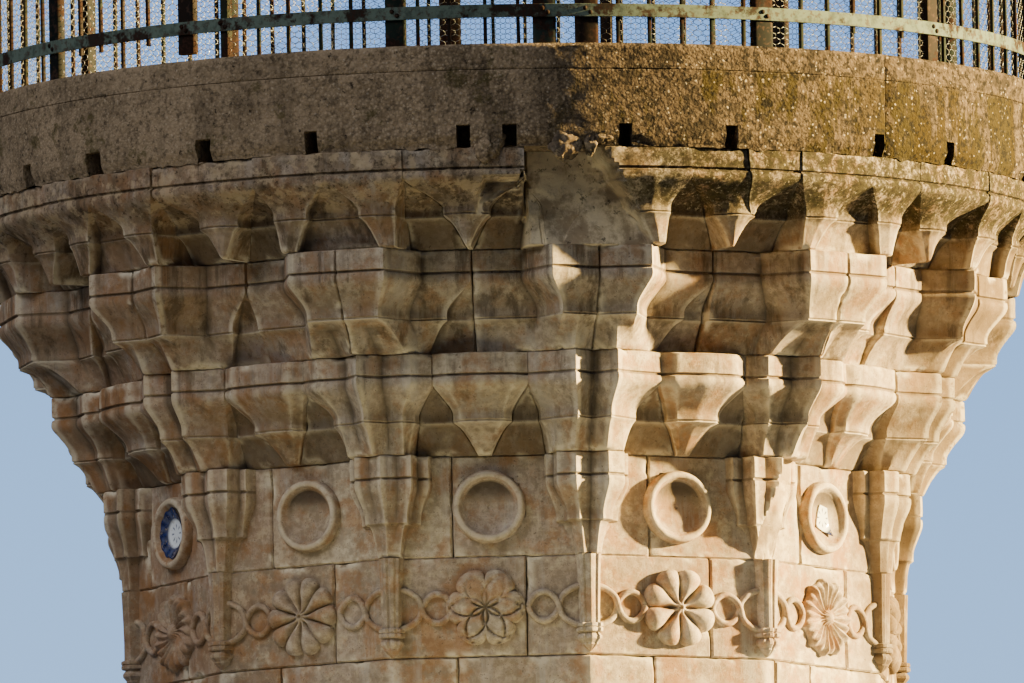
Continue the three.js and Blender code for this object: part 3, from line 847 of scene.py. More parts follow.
def block_course(top, bottom):
    """Tier 3: over each corner two stones that meet in the middle of their front, with a
    niche under the right-hand wing."""
    course = Course("corbel_tier_3_stones", "corbel_tier_3", -30 + COURSE_ASKEW[3])
    height = top - bottom - GAP
    profile = corbel_profile(height)
    slit = 0.002
    angles = set_out(SIDE, ASKEW_3, 3, 0.3)
    for k, angle in enumerate(angles):
        kind = "b" if k % 2 else "a"
        levels = [scaled(level) for level in TIER_3[kind]]
        before = angle - turn_between(angle, angles[k - 1]) / 2
        after = angle + turn_between(angles[(k + 1) % 12], angle) / 2
        left_rows = []
        right_rows = []
        for down, to_middle, to_low, groove, dirt_and_shade in profile:
            half = shape_at(levels, to_middle, to_low)
            joint = three(TIER_3["joint"], to_middle, to_low)
            wing = three(TIER_3["wing"], to_middle, to_low)
            niche = three(TIER_3["niche"], to_middle, to_low)
            z = top - height * down
            left = [(-along, out) for along, out in reversed(half)]
            left[-1] = (-0.0015, left[-1][1])
            left_rows.append((z, [local(before, slit, joint - groove)]
                              + [local(angle, a, out - groove) for a, out in left], dirt_and_shade))
            right = [(0.0015, half[0][1])] + half[1:]
            right_rows.append((z, [local(angle, a, out - groove) for a, out in right]
                               + [local(after, -slit - wing, joint - groove),
                                  local(after, -slit - wing + 0.001, niche),
                                  local(after, -slit, niche)], dirt_and_shade))
        block(course.at(angle), left_rows)
        block(course.at(angle), right_rows)
    course.finish()


# the shaft

WALL_SPACING = 0.022
BED_JOINT = 0.0015        # half the joint between the two courses of the shaft
SIDE_JOINT = 0.09         # and, in degrees, between two stones of a course


def flat_rows(start, end, bottom, top):
    """Rows of a plain stone on the twelve-sided shaft, between two bearings."""
    corners = [corner_at(FIRST_CORNER + SIDE * k) for k in range(24)]
    stops = [start] + [corner for corner in corners if start < corner < end] + [end]
    outline = [wall_point(a) for a in stops]
    steps = max(2, round((top - bottom) / WALL_SPACING))
    edge = 0.006
    levels = [top, top - edge] + [mix(top, bottom, k / steps) for k in range(1, steps)]
    levels += [bottom + edge, bottom]
    return [(z, outline, 0) for z in levels]


SINK_RADIUS = 0.122       # of the hollow behind a medallion
SINK = 0.06


def hollow_for_bowls(grid):
    """Sinks the face behind each medallion, so that its bowl is clear."""
    for vert in grid:
        nominal = SIDE * round(bearing(vert.co) / SIDE)
        middle, _, _ = face_at(nominal)
        across = vert.co.xy.dot(polar(middle + 90, 1)) - BOWL_SHIFT.get(nominal, 0)
        if math.hypot(across, vert.co.z - MEDALLION_Z) < SINK_RADIUS:
            vert.co.xy -= polar(middle, SINK)


def plain_course(course, joints, bottom, top, bowls=False):
    stops = sorted((a + 120 * k) for a in joints for k in range(3))
    stops.append(stops[0] + 360)
    for start, end in zip(stops, stops[1:]):
        middle = (start + end) / 2
        rows = flat_rows(start + SIDE_JOINT, end - SIDE_JOINT, bottom, top)
        grid = block(course.at(middle), rows, WALL_SPACING)
        if bowls:
            hollow_for_bowls(grid)


LEDGE = 0.35              # how far the capitals draw in under their step
# Half outlines of the capitals, as for the corbels; the last two points are the wing
CAPITAL = {
    "a": ([(0, 1626), (57, 1590), (114, 1597), (117, 1528), (158, 1520)],
          [(0, 1588), (42, 1560), (84, 1566), (87, 1512), (118, 1500)],
          [(0, 1556), (24, 1543), (44, 1536), (47, 1500), (58, 1490)]),
    "b": ([(0, 1592), (64, 1626), (132, 1592), (135, 1528), (160, 1520)],
          [(0, 1556), (46, 1588), (88, 1560), (91, 1512), (120, 1500)],
          [(0, 1546), (25, 1558), (46, 1536), (49, 1500), (58, 1490)]),
}
# Half outlines of the colonnettes, out from the corner of the shaft, in mm
COLONNETTE = {
    "a": [(0, 36), (9, 42), (20, 39), (27, 30), (38, 26), (44, -14)],
    "b": [(0, 42), (12, 38), (20, 32), (30, 34), (40, 24), (44, -14)],
}
# depth below the frieze's top, and the size of the section there
COLONNETTE_STEPS = [
    (0, 1.08), (60, 1.0), (130, 0.95), (200, 0.9), (270, 0.87), (273, 1.12), (277, 1.17),
    (286, 1.17), (289, 1.06), (293, 1.17), (303, 1.17), (307, 1.1), (310, 0.8), (316, 0.92),
    (325, 1.06), (335, 1.04), (345, 0.85), (351, 0.72), (356, 0.72), (366, 0.5), (378, 0.2),
    (383, 0.05),
]


BEHIND = WALL - 0.03      # how far the back of a capital is built into the wall


def capital(bm, angle, kind):
    height = TIER_1_TOP - FRIEZE_TOP - GAP
    levels = [scaled(level) for level in CAPITAL[kind]]
    rows = []
    for down, to_middle, to_low, groove, dirt_and_shade in corbel_profile(height, LEDGE):
        half = shape_at(levels, to_middle, to_low)
        end = half[-1][0]
        line = [(-end, BEHIND)] + mirrored(half) + [(end, BEHIND)]
        rows.append((TIER_1_TOP - height * down,
                     [local(angle, along, out - (groove if out > WALL else 0))
                      for along, out in line], dirt_and_shade))
    block(bm, rows, 0.014, back=BEHIND - 0.03, wear=0.9)


def colonnette(bm, angle, kind, length):
    layer = bm.verts.layers.float_color["stone"]
    section = mirrored(scaled(COLONNETTE[kind])) + [(0.044, -0.05), (-0.044, -0.05)]
    rings = []
    for down, size in COLONNETTE_STEPS:
        z = FRIEZE_TOP - GAP - down * MM * length
        rings.append([(*local(angle, a * size, CORNER + (out * size if out > 0 else out)), z)
                      for a, out in section])
    tone = dice.random()
    for vert in skin(bm, rings):
        place = vert.co.copy()
        vert.co.xy = place.xy * (1 + 0.0012 * noise.noise(place * 25))
        vert[layer] = (tone, 0, 0, 1)


ROSETTE_COURSE_JOINTS = [-25, 5, 34, 63.6]
MEDALLION_COURSE_JOINTS = [-36, -6, 24, 43, 52]
FOOT_COURSE_JOINTS = [-35, -5.5, 24.5, 45, 54]


def shaft():
    walls = Course("shaft_stones", "shaft_wall", 7 - TURN)
    plain_course(walls, FOOT_COURSE_JOINTS, 0, COURSE - BED_JOINT)
    plain_course(walls, ROSETTE_COURSE_JOINTS, COURSE + BED_JOINT, FRIEZE_TOP)
    walls.finish()
    medallions = Course("medallion_course_stones", "medallion_course", -7)
    plain_course(medallions, MEDALLION_COURSE_JOINTS, FRIEZE_TOP + GAP, TIER_1_TOP, bowls=True)
    medallions.finish()
    for k in range(12):
        angle = corner_at(-15 + SIDE * k)
        kind = "b" if k % 2 else "a"
        bm = new_stone_mesh()
        colonnette(bm, angle, kind, dice.uniform(0.97, 1.0))
        finish_mesh(f"colonnette_{k + 1}", bm, STONE, crease=25)
        bm = new_stone_mesh()
        capital(bm, angle, kind)
        finish_mesh(f"capital_{k + 1}", bm, STONE, crease=25)


# carving on the faces of the shaft, made facing -Y at the axis and then put in place

BOWL_SHIFT = {-30: 0.024}     # along the face, of the medallions that are off its middle
ROSETTE_SHIFT = {-30: -0.015, 0: -0.019}


def put_on_face(bm, side, z, out=0.0, along=0.0):
    middle, wall, _ = face_at(side)
    rotate(bm, bm.verts, middle)
    bmesh.ops.translate(bm, verts=bm.verts, vec=(*local(middle, along, wall + out), z))


def spun(profile, steps):
    """A body of revolution about Y from (radius, out) points, closed on the axis."""
    bm = new_stone_mesh()
    line = [bm.verts.new((radius, -out, 0)) for radius, out in profile]
    edges = [bm.edges.new(pair) for pair in zip(line, line[1:])]
    spin(bm, line + edges, (0, 1, 0), 360, steps, use_merge=True)
    bmesh.ops.remove_doubles(bm, verts=bm.verts, dist=0.00005)
    return bm


RIM = [(0.1055, 0.021), (0.11, 0.029), (0.116, 0.035), (0.124, 0.037), (0.132, 0.034),
       (0.138, 0.025), (0.141, 0.01), (0.141, -0.05), (0, -0.05)]
BOWL = [(0, -0.008), (0.006, -0.007), (0.008, -0.004), (0.03, -0.003), (0.055, 0.0),
        (0.078, 0.005), (0.096, 0.0115)] + RIM
# the bowl that holds the plate, bedded in mortar a hair behind it
BEDDED = [(0, -0.0093), (0.03, -0.0091), (0.052, -0.0068), (0.062, -0.0004), (0.08, 0.0076),
          (0.0985, 0.0146), (0.104, 0.019)] + RIM[1:]


BOWL_EDGE = 0.104
RIM_BLEACH = (0.11, 0.136)    # between these radii the rim is worn pale


def medallion(side):
    bm = spun(BEDDED if side % 360 == PLATE_SIDE % 360 else BOWL, 56)
    tone = 0.35 + 0.4 * dice.random()
    layer = bm.verts.layers.float_color["stone"]
    for vert in bm.verts:
        place = vert.co + Vector((side, 0, 0))
        radius = math.hypot(vert.co.x, vert.co.z)
        vert.co.y -= 0.003 * noise.noise(place * 18) * smooth((radius - BOWL_EDGE) / 0.008)
        # painted shade with some dirt: the upper part of the bowl is darker
        dirt_and_shade = 0.1 + 0.75 * smooth(vert.co.z / 0.07)
        vert[layer] = (tone, 0.5 if RIM_BLEACH[0] < radius < RIM_BLEACH[1] else 0,
                       dirt_and_shade if radius < BOWL_EDGE - 0.004 else 0, 1)
    put_on_face(bm, side, MEDALLION_Z, along=BOWL_SHIFT.get(side, 0))
    finish_mesh(f"medallion_{side % 360}", bm, STONE, crease=50)


ROSETTE_RADIUS = 0.153
RELIEF = 0.044


# Each design of a rosette is two functions: the height of the carving at a share of the
# radius and a direction, and how far the rim reaches in a direction.

def round_edge(x):
    """1 up to x = 0, and from there a quarter circle down to 0 at x = 1."""
    return math.sqrt(max(0, 1 - max(0, x) ** 2))


def across_petal(theta, count, twist=0.0):
    """-1 to 1 across the petal in which a direction lies."""
    return ((theta * count / (2 * math.pi) + twist) % 1) * 2 - 1


def lobed(count, twist):
    def reach(theta):
        return 0.8 + 0.2 * round_edge(abs(across_petal(theta, count, twist)))
    return reach


def petals(count, waist, twist=0.0):
    def height(rho, theta):
        if rho < 0.17:
            return 0.8 * round_edge(rho / 0.19) - (0.5 if rho < 0.05 else 0)
        phi = across_petal(theta, count, twist)
        width = mix(waist, 1.0, smooth(rho / 0.75))
        ridge = math.sqrt(max(0, 1 - (phi / width) ** 2 * 0.98))
        swell = 0.45 + 0.55 * smooth(rho / 0.7)
        return ridge * swell * round_edge((rho - 0.7) / 0.33)
    return height, lobed(count, twist)


def interlaced():
    def height(rho, theta):
        x = rho * math.cos(theta)
        y = rho * math.sin(theta)
        cut = 0.0
        for k in range(6):
            a = math.pi / 6 + k * math.pi / 3
            gap = abs(math.hypot(x - 0.5 * math.cos(a), y - 0.5 * math.sin(a)) - 0.5)
            cut = max(cut, 1 - gap / 0.05)
        depth = 0.45 if y < 0.1 else 0.16
        return 0.85 * round_edge((rho - 0.72) / 0.3) - depth * smooth(cut)
    return height, lobed(6, 0.5)


def shell(flutes, swirl):
    def height(rho, theta):
        turned = theta + swirl * rho
        fan = (0.45 + 0.5 * smooth(rho)) * (0.78 + 0.22 * math.cos(flutes * turned))
        return max(fan * round_edge((rho - 0.8) / 0.22), round_edge(rho / 0.24))

    def reach(theta):
        turned = theta + swirl
        return 0.88 + 0.1 * abs(math.cos(flutes * turned / 4)) + 0.02 * math.cos(flutes * turned)
    return height, reach


ROSETTES = {
    0: interlaced(), 30: petals(8, 0.55), 60: shell(22, 0.0),
    270: petals(8, 0.55), 300: shell(20, 0.4), 330: petals(10, 0.62, 0.5),
    90: petals(10, 0.7), 120: interlaced(), 150: petals(8, 0.55), 180: shell(22, 0.0),
    210: shell(20, 0.4), 240: interlaced(),
}


def rosette(side):
    height, reach = ROSETTES[side % 360]
    rings = 16
    spokes = 120
    profile = [(k / rings, 1.0) for k in range(rings + 1)] + [(1.0, 0.0), (0, 0.0)]
    bm = spun(profile, spokes)
    for vert in bm.verts:
        rho = math.hypot(vert.co.x, vert.co.z)
        theta = math.atan2(vert.co.z, vert.co.x)
        size = ROSETTE_RADIUS * reach(theta)
        rise = height(rho, theta) * RELIEF if vert.co.y < -0.5 else -0.02
        rise += 0.0022 * noise.noise(Vector((vert.co.x * 3, side, vert.co.z * 3)))
        vert.co = (vert.co.x * size, -rise, vert.co.z * size)
    paint(bm, bm.verts, "stone", (0.45 + 0.4 * dice.random(), 0, 0, 1))
    put_on_face(bm, side, ROSETTE_Z, along=ROSETTE_SHIFT.get(side, 0))
    finish_mesh(f"rosette_{side % 360}", bm, STONE, crease=55)


def sweep(bm, path, section):
    """A closed bar along a path of places, each with an across and an out vector, and its
    vertices."""
    return skin(bm, [[place + across * a + out * b for a, b in section]
                     for place, across, out in path])


LOOP_HALF = 0.117         # half the width of the large loop behind a colonnette
LOOP_RISE = 0.08
SMALL_REACH = 0.118       # from a crossing to the rosette
SMALL_RISE = 0.056
BAND = [(0.0125 * math.cos(a), 0.015 * math.sin(a) + 0.003)
        for a in (math.pi * k / 4 for k in range(8))]


def chain(corner):
    """Two bands that twine between two rosettes: a small ring, a large one behind the
    colonnette, and a small ring again."""
    bm = new_stone_mesh()
    steps = 64
    end = LOOP_HALF + SMALL_REACH
    for strand in (1, -1):
        path = []
        for k in range(steps + 1):
            s = mix(-end, end, k / steps)
            far = abs(s) - LOOP_HALF
            if far < 0:
                rise = LOOP_RISE * math.sqrt(max(0, 1 - (s / LOOP_HALF) ** 2 * 0.999))
            else:
                rise = -SMALL_RISE * math.sin(math.pi * min(1, far / SMALL_REACH)) ** 0.6
            lift = 0.005 * strand * math.copysign(1, s) * math.exp(-(far / 0.02) ** 2)
            side, wall, half = face_at(corner + math.copysign(SIDE / 2, s))
            along = (half - abs(s)) * -math.copysign(1, s)
            spot = local(side, along, wall + lift)
            path.append(Vector((spot.x, spot.y, ROSETTE_Z + strand * rise)))
        swept = []
        for k, place in enumerate(path):
            ahead = path[min(k + 1, steps)] - path[max(k - 1, 0)]
            side, _, _ = face_at(corner + math.copysign(SIDE / 2, k - steps / 2))
            out = Vector((*polar(side, 1), 0))
            across = ahead.cross(out).normalized()
            swept.append((place, across, out))
        sweep(bm, swept, BAND)
    paint(bm, bm.verts, "stone", (0.55, 0, 0, 1))
    finish_mesh(f"chain_{corner % 360}", bm, STONE, crease=60)


# the plate, with a scalloped rim

PLATE = [(0, -0.013), (0.03, -0.0128), (0.052, -0.0105), (0.062, -0.004), (0.08, 0.004),
         (0.098, 0.011), (0.1, 0.0135), (0.098, 0.0155), (0.08, 0.0095), (0.06, 0.002),
         (0.05, -0.0045), (0.03, -0.0068), (0, -0.007)]


# where each is broken off: a point of the break and the direction of what is gone
PLATE_CUTS = [((0.052, 0, 0.03), (1, 0, 0.5)), ((0.046, 0, -0.03), (1, 0, -0.35))]
FRAGMENT_CUTS = [((0.036, 0, 0), (1, 0, 0.15)), ((-0.034, 0, 0), (-1, 0, 0.3)),
                 ((0, 0, 0.046), (0.2, 0, 1)), ((0, 0, -0.052), (-0.35, 0, -1))]
FRAGMENT_SIDE = 60
LEAVES = 12               # leaves and scallops of the rim
STROKES = 8               # and strokes round the middle


def plate(name, side, out, cuts, nodes=()):
    bm = spun(PLATE, 96)
    layer = bm.verts.layers.float_color.new("ring")
    bmesh.ops.subdivide_edges(bm, edges=bm.edges, cuts=1, use_grid_fill=True)
    for point, gone in cuts:
        cut = bmesh.ops.bisect_plane(bm, geom=whole(bm), plane_co=point, plane_no=gone,
                                     clear_outer=True)
        bmesh.ops.holes_fill(bm, edges=edges_of(cut["geom_cut"]))
    for vert in bm.verts:
        radius = math.hypot(vert.co.x, vert.co.z)
        theta = math.atan2(vert.co.z, vert.co.x)
        leaf = math.cos(LEAVES * theta)
        blue = smooth((radius - 0.05) / 0.012)
        if 0.062 < radius < 0.093:
            blue *= mix(0.93, 1.0, 0.5 + 0.5 * leaf)
        if 0.018 < radius < 0.035:
            blue = max(blue, smooth(2 * math.cos(STROKES * theta) - 0.8))
        vert[layer] = (blue, 0, 0, 1)
        rim = smooth((radius - 0.07) / 0.03)
        scallop = 1 + rim * (0.035 * leaf - 0.015)
        vert.co.x *= scallop
        vert.co.z *= scallop
    put_on_face(bm, side, MEDALLION_Z, out=out)
    finish_mesh(name, bm, GLAZE, nodes, crease=50)


# concrete

# The holes' bearings and widths in mm: the ones that show, the same ones behind, and three
# on each side
HOLES = [(-57.5, 68), (-45.4, 86), (-30.1, 68), (-17.6, 52), (-1.4, 54), (3.4, 56), (15.5, 52),
         (27.1, 52), (45.6, 52), (56.8, 52)]
HOLES += [(hole + 180, width) for hole, width in HOLES]
HOLES += [(hole, 52) for hole in (75, 90, 105, 255, 270, 285)]
HOLE_HEIGHT = 0.085
HOLE_DEPTH = 0.15
BOARD_DEPTH = 0.1         # of the line between two boards of the formwork, under the top
ARCS = 3
POUR_JOINT = 46.7         # where two pours of the ring meet
GRAVEL = 0.004            # how far the gravel stands out, and as much again near the foot
HEAVE = 0.006             # height of the long waves in the ring's face
FOOT_DROP = 0.014         # how far the gravel hangs below the foot


def curb():
    """The cast ring in three pours, its gravel laid bare, with the holes of the formwork
    in its foot."""
    span = 360 / ARCS
    columns = 150
    step = span / columns
    foot = TIER_4_TOP + GAP
    depths = (0, 0.004, 0.012, 0.026, 0.042, 0.058, 0.074, 0.088, 0.097, 0.1, 0.103, 0.112,
              0.13, 0.148, 0.166, 0.184, 0.202, 0.22, 0.238, 0.256, 0.274, 0.292, 0.308)
    levels = [CURB_TOP - depth for depth in depths]
    levels += [foot + HOLE_HEIGHT, foot + 0.06, foot + 0.044, foot + 0.028, foot + 0.014,
               foot + 0.005, foot]
    for i in range(ARCS):
        bm = new_stone_mesh()
        start = POUR_JOINT + i * span
        holes = [(start + (hole - start) % 360, math.degrees(width * MM / 2 / CURB_RADIUS))
                 for hole, width in HOLES if 0.9 < (hole - start) % 360 < span - 0.9]
        stops = [start + step * k for k in range(columns + 1)]
        stops[0] += 0.05
        stops[-1] -= 0.05
        for hole, half in holes:
            left = round((hole - half - start) / step)
            right = max(left + 1, round((hole + half - start) / step))
            stops[left] = hole - half
            stops[right] = hole + half
        section = [(CURB_RADIUS, z) for z in levels]
        section += [(CURB_INSIDE, foot), (CURB_INSIDE, CURB_TOP)]
        line = [bm.verts.new((*polar(start, radius), z)) for radius, z in section]
        loop = [bm.edges.new(pair) for pair in zip(line, line[1:] + line[:1])]
        last = spin(bm, loop, (0, 0, 1), span, columns)["geom_last"]
        for end in (loop, edges_of(last)):
            bmesh.ops.contextual_create(bm, geom=end)
        layer = bm.verts.layers.float_color["stone"]
        for vert in bm.verts:
            column = round(((bearing(vert.co) - start + 1) % 360 - 1) / step)
            angle = stops[column]
            vert[layer] = (0.5, 0, 0, 1)
            if vert.co.xy.length < CURB_RADIUS - 0.01:
                vert.co.xy = polar(angle, CURB_INSIDE)
                continue
            place = Vector((*polar(angle, CURB_RADIUS), vert.co.z))
            near_foot = 1 - smooth((place.z - foot) / 0.09)
            bump = GRAVEL * (1 + near_foot) * noise.fractal(place * 32, 0.8, 2.1, 3)
            bump += HEAVE * noise.noise(place * 4)
            edge = min(CURB_TOP - place.z, CURB_RADIUS * math.radians(min(
                angle - start, start + span - angle)))
            bump -= 0.01 * (1 - smooth(edge / 0.012))
            bump -= 0.016 * (1 - smooth((place.z - foot) / 0.045))
            if abs(CURB_TOP - BOARD_DEPTH - place.z) < 0.001:
                bump -= 0.004
            vert.co.xy = polar(angle, min(CURB_RADIUS, CURB_RADIUS - HEAVE + bump))
            if place.z < foot + 0.03:
                drop = FOOT_DROP * max(0, noise.fractal(place * 26, 0.8, 2.2, 4))
                vert.co.z -= drop * (1 - (place.z - foot) / 0.03)
        sunk = []
        for face in bm.faces:
            middle = face.calc_center_median()
            if middle.z > foot + HOLE_HEIGHT or middle.xy.length < CURB_RADIUS - 0.04:
                continue
            if any(abs(turn_between(bearing(middle), hole)) < half for hole, half in holes):
                sunk.append(face)
        made = bmesh.ops.extrude_face_region(bm, geom=sunk)["geom"]
        for vert in verts_of(made):
            vert.co.xy *= 1 - HOLE_DEPTH / CURB_RADIUS
        bmesh.ops.delete(bm, geom=sunk, context="FACES")
        first = round(start / TURN) % SEGMENTS
        nodes = [f"concrete_ring_{(first + k) % SEGMENTS + 1}" for k in range(2)]
        finish_mesh(f"cast_ring_{i + 1}", bm, CONCRETE, nodes, crease=50)


# Lumps squeezed out under the ring: bearing, height, width, depth and height in mm
MORTAR_LUMPS = [
    (9.2, TIER_4_TOP + 0.006, 130, 62, 134), (11.8, TIER_4_TOP + 0.01, 60, 56, 95),
    (13.2, TIER_4_TOP + 0.036, 84, 56, 56), (248.0, TIER_4_TOP - 0.01, 80, 60, 90),
]
CONCRETE_LUMPS = [(1.0, TIER_4_TOP, 112, 56, 132), (129.0, TIER_4_TOP - 0.01, 70, 60, 100)]
LUMP_RADIUS = 2.104


def lumps(name, places, material):
    bm = new_stone_mesh()
    layer = bm.verts.layers.float_color["stone"]
    for angle, z, width, depth, height in places:
        made = bmesh.ops.create_icosphere(bm, subdivisions=4, radius=1)["verts"]
        for vert in made:
            place = vert.co.copy()
            ragged = noise.fractal(place * 1.3 + Vector((angle, 0, 0)), 0.75, 2.2, 5)
            vert.co *= 1 + 0.4 * ragged
            taper = 1 + 0.45 * place.z
            vert.co = Vector((vert.co.x * width * taper, vert.co.y * depth,
                              vert.co.z * height)) * MM / 2
            vert[layer] = (0.2, 0, 0.7, 0.92)
        set_round(bm, made, angle, LUMP_RADIUS, z)
        for vert in made:
            vert.co.y = max(vert.co.y, 0.002 - CURB_RADIUS)
    finish_mesh(name, bm, material, crease=60)


def dress_floor():
    node = frame["nodes"]["balcony_floor"]
    node.data.materials.clear()
    node.data.materials.append(CONCRETE)


# railing

PAINTS = {"green": "#18221b", "dark": "#0f1210", "brown": "#1d150f", "slate": "#1f2925",
          "olive": "#212518", "pale": "#58655a"}
# Uprights heavier than the bars: bearing, width in mm and paint
POSTS = [(-53.2, 62, "dark"), (-32.8, 74, "brown"), (-27.9, 34, "olive"), (-8.5, 78, "green"),
         (7.3, 88, "slate"), (11.8, 88, "brown"), (31.5, 84, "dark"), (55.3, 66, "brown"),
         (80, 45, "green"), (100, 45, "dark"), (125, 45, "green"), (151, 66, "dark"),
         (171.5, 45, "brown"), (188.7, 84, "brown"), (214, 45, "green"), (235, 45, "dark"),
         (260, 45, "green"), (283, 45, "brown")]
HIGH_POST = -32.8         # this one hangs clear of the ring
BAND_Z = CURB_TOP + 0.128
BARS = 17                 # places for bars in a sixth of the railing
BAR_STEP = TURN / BARS
BACK_SHIFT = -0.42        # brings the bars of the far half in line with the near ones


POST_DEPTH = 0.04
BAR = 0.014
BAND_THICK = 0.012        # of the top band


def bar(bm, angle, width, foot, colour, radius, lean=0.0, broad=1.0):
    """An upright with eased edges, so many times broader along the rail than it is deep."""
    top = RAIL_TOP - BAND_THICK
    made = bmesh.ops.create_cube(bm, size=1)["verts"]
    bmesh.ops.scale(bm, verts=made, vec=(width, width, top - foot))
    edges = dict.fromkeys(e for v in made for e in v.link_edges)
    upright = [e for e in edges if abs(e.verts[0].co.z - e.verts[1].co.z) > 0.01]
    eased = bmesh.ops.bevel(bm, geom=upright, offset=width * 0.16, affect="EDGES", segments=2,
                            profile=0.5, material=-1)["verts"]
    body = list(dict.fromkeys([v for v in made if v.is_valid] + list(eased)))
    bmesh.ops.scale(bm, verts=body, vec=(broad, 1, 1))
    rotate(bm, body, lean, "Y")
    set_round(bm, body, angle, radius, (foot + top) / 2)
    paint(bm, body, "paint", linear(PAINTS[colour]))


def flat_ring(bm, start, end, inner, outer, bottom, top, colour):
    steps = 24
    path = []
    for k in range(steps + 1):
        angle = mix(start, end, k / steps)
        out = Vector((*polar(angle, 1), 0))
        path.append((out * (inner + outer) / 2 + Vector((0, 0, (bottom + top) / 2)),
                     Vector((0, 0, 1)), out))
    x = (top - bottom) / 2
    y = (outer - inner) / 2
    e = min(x, y) * 0.3
    section = [(-x + e, -y), (x - e, -y), (x, -y + e), (x, y - e), (x - e, y), (-x + e, y),
               (-x, y - e), (-x, -y + e)]
    paint(bm, sweep(bm, path, section), "paint", linear(PAINTS[colour]))


def bolt(bm, angle, z, radius):
    made = bmesh.ops.create_uvsphere(bm, u_segments=10, v_segments=6, radius=0.009)["verts"]
    bmesh.ops.scale(bm, verts=made, vec=(1, 0.6, 1))
    set_round(bm, made, angle, radius, z)
    paint(bm, made, "paint", linear(PAINTS["brown"]))


PANEL_FROM = -18.5
STUBS = {-50.0, -43.6, -37.5, 42.0, 49.5}     # bars that are cut off under the flat band


def railing():
    for i in range(SEGMENTS):
        bm = bmesh.new()
        bm.verts.layers.float_color.new("paint")
        start = PANEL_FROM + i * TURN
        here = [post for post in POSTS if 0 <= (post[0] - start) % 360 < TURN]
        for angle, width, colour in here:
            foot = CURB_TOP + (0.03 if angle == HIGH_POST else GAP)
            bar(bm, angle, POST_DEPTH, foot, colour, RAIL_RADIUS - BAR,
                broad=width * MM / POST_DEPTH)
        for k in range(BARS):
            angle = start + (k + 0.5) * BAR_STEP
            if 90 < angle % 360 < 270:
                angle += BACK_SHIFT
            if any(abs(turn_between(angle, a)) < 0.9 + math.degrees(w * MM / 4)
                   for a, w, _ in here):
                continue
            short = any(abs(turn_between(angle, s)) < BAR_STEP / 2 for s in STUBS)
            foot = BAND_Z - 0.05 if short else CURB_TOP + GAP
            colour = dice.choice(["green", "green", "olive", "slate", "dark", "brown"])
            bar(bm, angle + dice.uniform(-0.12, 0.12), BAR, foot, colour, RAIL_RADIUS,
                dice.uniform(-0.5, 0.5))
        face = RAIL_RADIUS + 0.008
        flat_ring(bm, start + 0.01, start + TURN - 0.01, face, face + 0.008, BAND_Z - 0.025,
                  BAND_Z + 0.025, "pale")
        flat_ring(bm, start + 0.01, start + TURN - 0.01, RAIL_RADIUS - 0.03,
                  RAIL_RADIUS + 0.03, RAIL_TOP - BAND_THICK, RAIL_TOP, "pale")
        for angle, _, _ in here:
            bolt(bm, angle - 0.25, BAND_Z + 0.008, face + 0.009)
            bolt(bm, angle + 0.3, BAND_Z - 0.008, face + 0.009)
        finish_mesh(f"railing_bars_{i + 1}", bm, STEEL,
                    [f"railing_panel_{i + 1}"], crease=40)


CELL = 0.039              # across a mesh of the netting
TWIST = 0.012             # height of the twisted stretch between two meshes
SLOPE = 0.009             # rise of the slanting wires
WIRE_RADIUS = 0.0012
NET_RADIUS = RAIL_RADIUS - 0.013


def strut(bm, angle_a, z_a, angle_b, z_b):
    """One three-sided length of wire on the netting's cylinder."""
    a = Vector((*polar(angle_a, NET_RADIUS), z_a))
    b = Vector((*polar(angle_b, NET_RADIUS), z_b))
    turn = (b - a).to_track_quat("Z", "Y").to_matrix().to_4x4()
    bmesh.ops.create_cone(bm, cap_ends=True, segments=3, radius1=WIRE_RADIUS,
                          radius2=WIRE_RADIUS, depth=(b - a).length,
                          matrix=Matrix.Translation((a + b) / 2) @ turn)


def netting():
    """Six lengths of hexagonal netting, each the same one turned."""
    step = TURN / round(TURN / math.degrees(CELL / NET_RADIUS))
    columns = round(TURN / step)
    pitch = 2 * (TWIST + SLOPE)
    rows = int((RAIL_TOP - 0.03 - CURB_TOP) / pitch)
    length = bmesh.new()
    foot = CURB_TOP + 0.002
    for shift, low in ((0.25, foot), (0.75, foot + pitch / 2)):
        angle = shift * step
        top = low + TWIST
        strut(length, angle, low, angle, top)
        strut(length, angle, top, angle - step / 2, top + SLOPE)
        strut(length, angle, top, angle + step / 2, top + SLOPE)
    spin(length, whole(length), (0, 0, 1), step * (columns - 1), columns - 1,
         use_duplicate=True)
    band = whole(length)
    for k in range(1, rows):
        made = bmesh.ops.duplicate(length, geom=band)["geom"]
        bmesh.ops.translate(length, verts=verts_of(made), vec=(0, 0, pitch * k))
    for i in range(SEGMENTS):
        bm = length.copy()
        rotate(bm, bm.verts, PANEL_FROM + i * TURN)
        finish_mesh(f"netting_{i + 1}", bm, WIRE, crease=180, recalc=False)
    length.free()


# stage, light and camera

STAGE_RADIUS = 3.4


def stage():
    bm = bmesh.new()
    bmesh.ops.create_circle(bm, cap_ends=True, segments=128, radius=STAGE_RADIUS)
    bmesh.ops.translate(bm, verts=bm.verts, vec=(0, 0, -0.001))
    material, _, _ = new_material("pale_floor", Roughness=0.8, Base_Color=linear("#929fb4"))
    mesh_object("pale_floor", bm, material)


def turn_to(thing, azimuth, elevation, roll=0.0):
    """Turns a lamp or a camera so that it looks at the axis from a bearing and an elevation,
    and gives back the direction to it."""
    level = math.radians(elevation)
    toward = Vector((*polar(azimuth, math.cos(level)), math.sin(level)))
    turn = toward.to_track_quat("Z", "Y").to_matrix()
    thing.rotation_mode = "QUATERNION"
    thing.rotation_quaternion = (turn @ Matrix.Rotation(math.radians(-roll), 3, "Z")
                                 ).to_quaternion()
    return toward


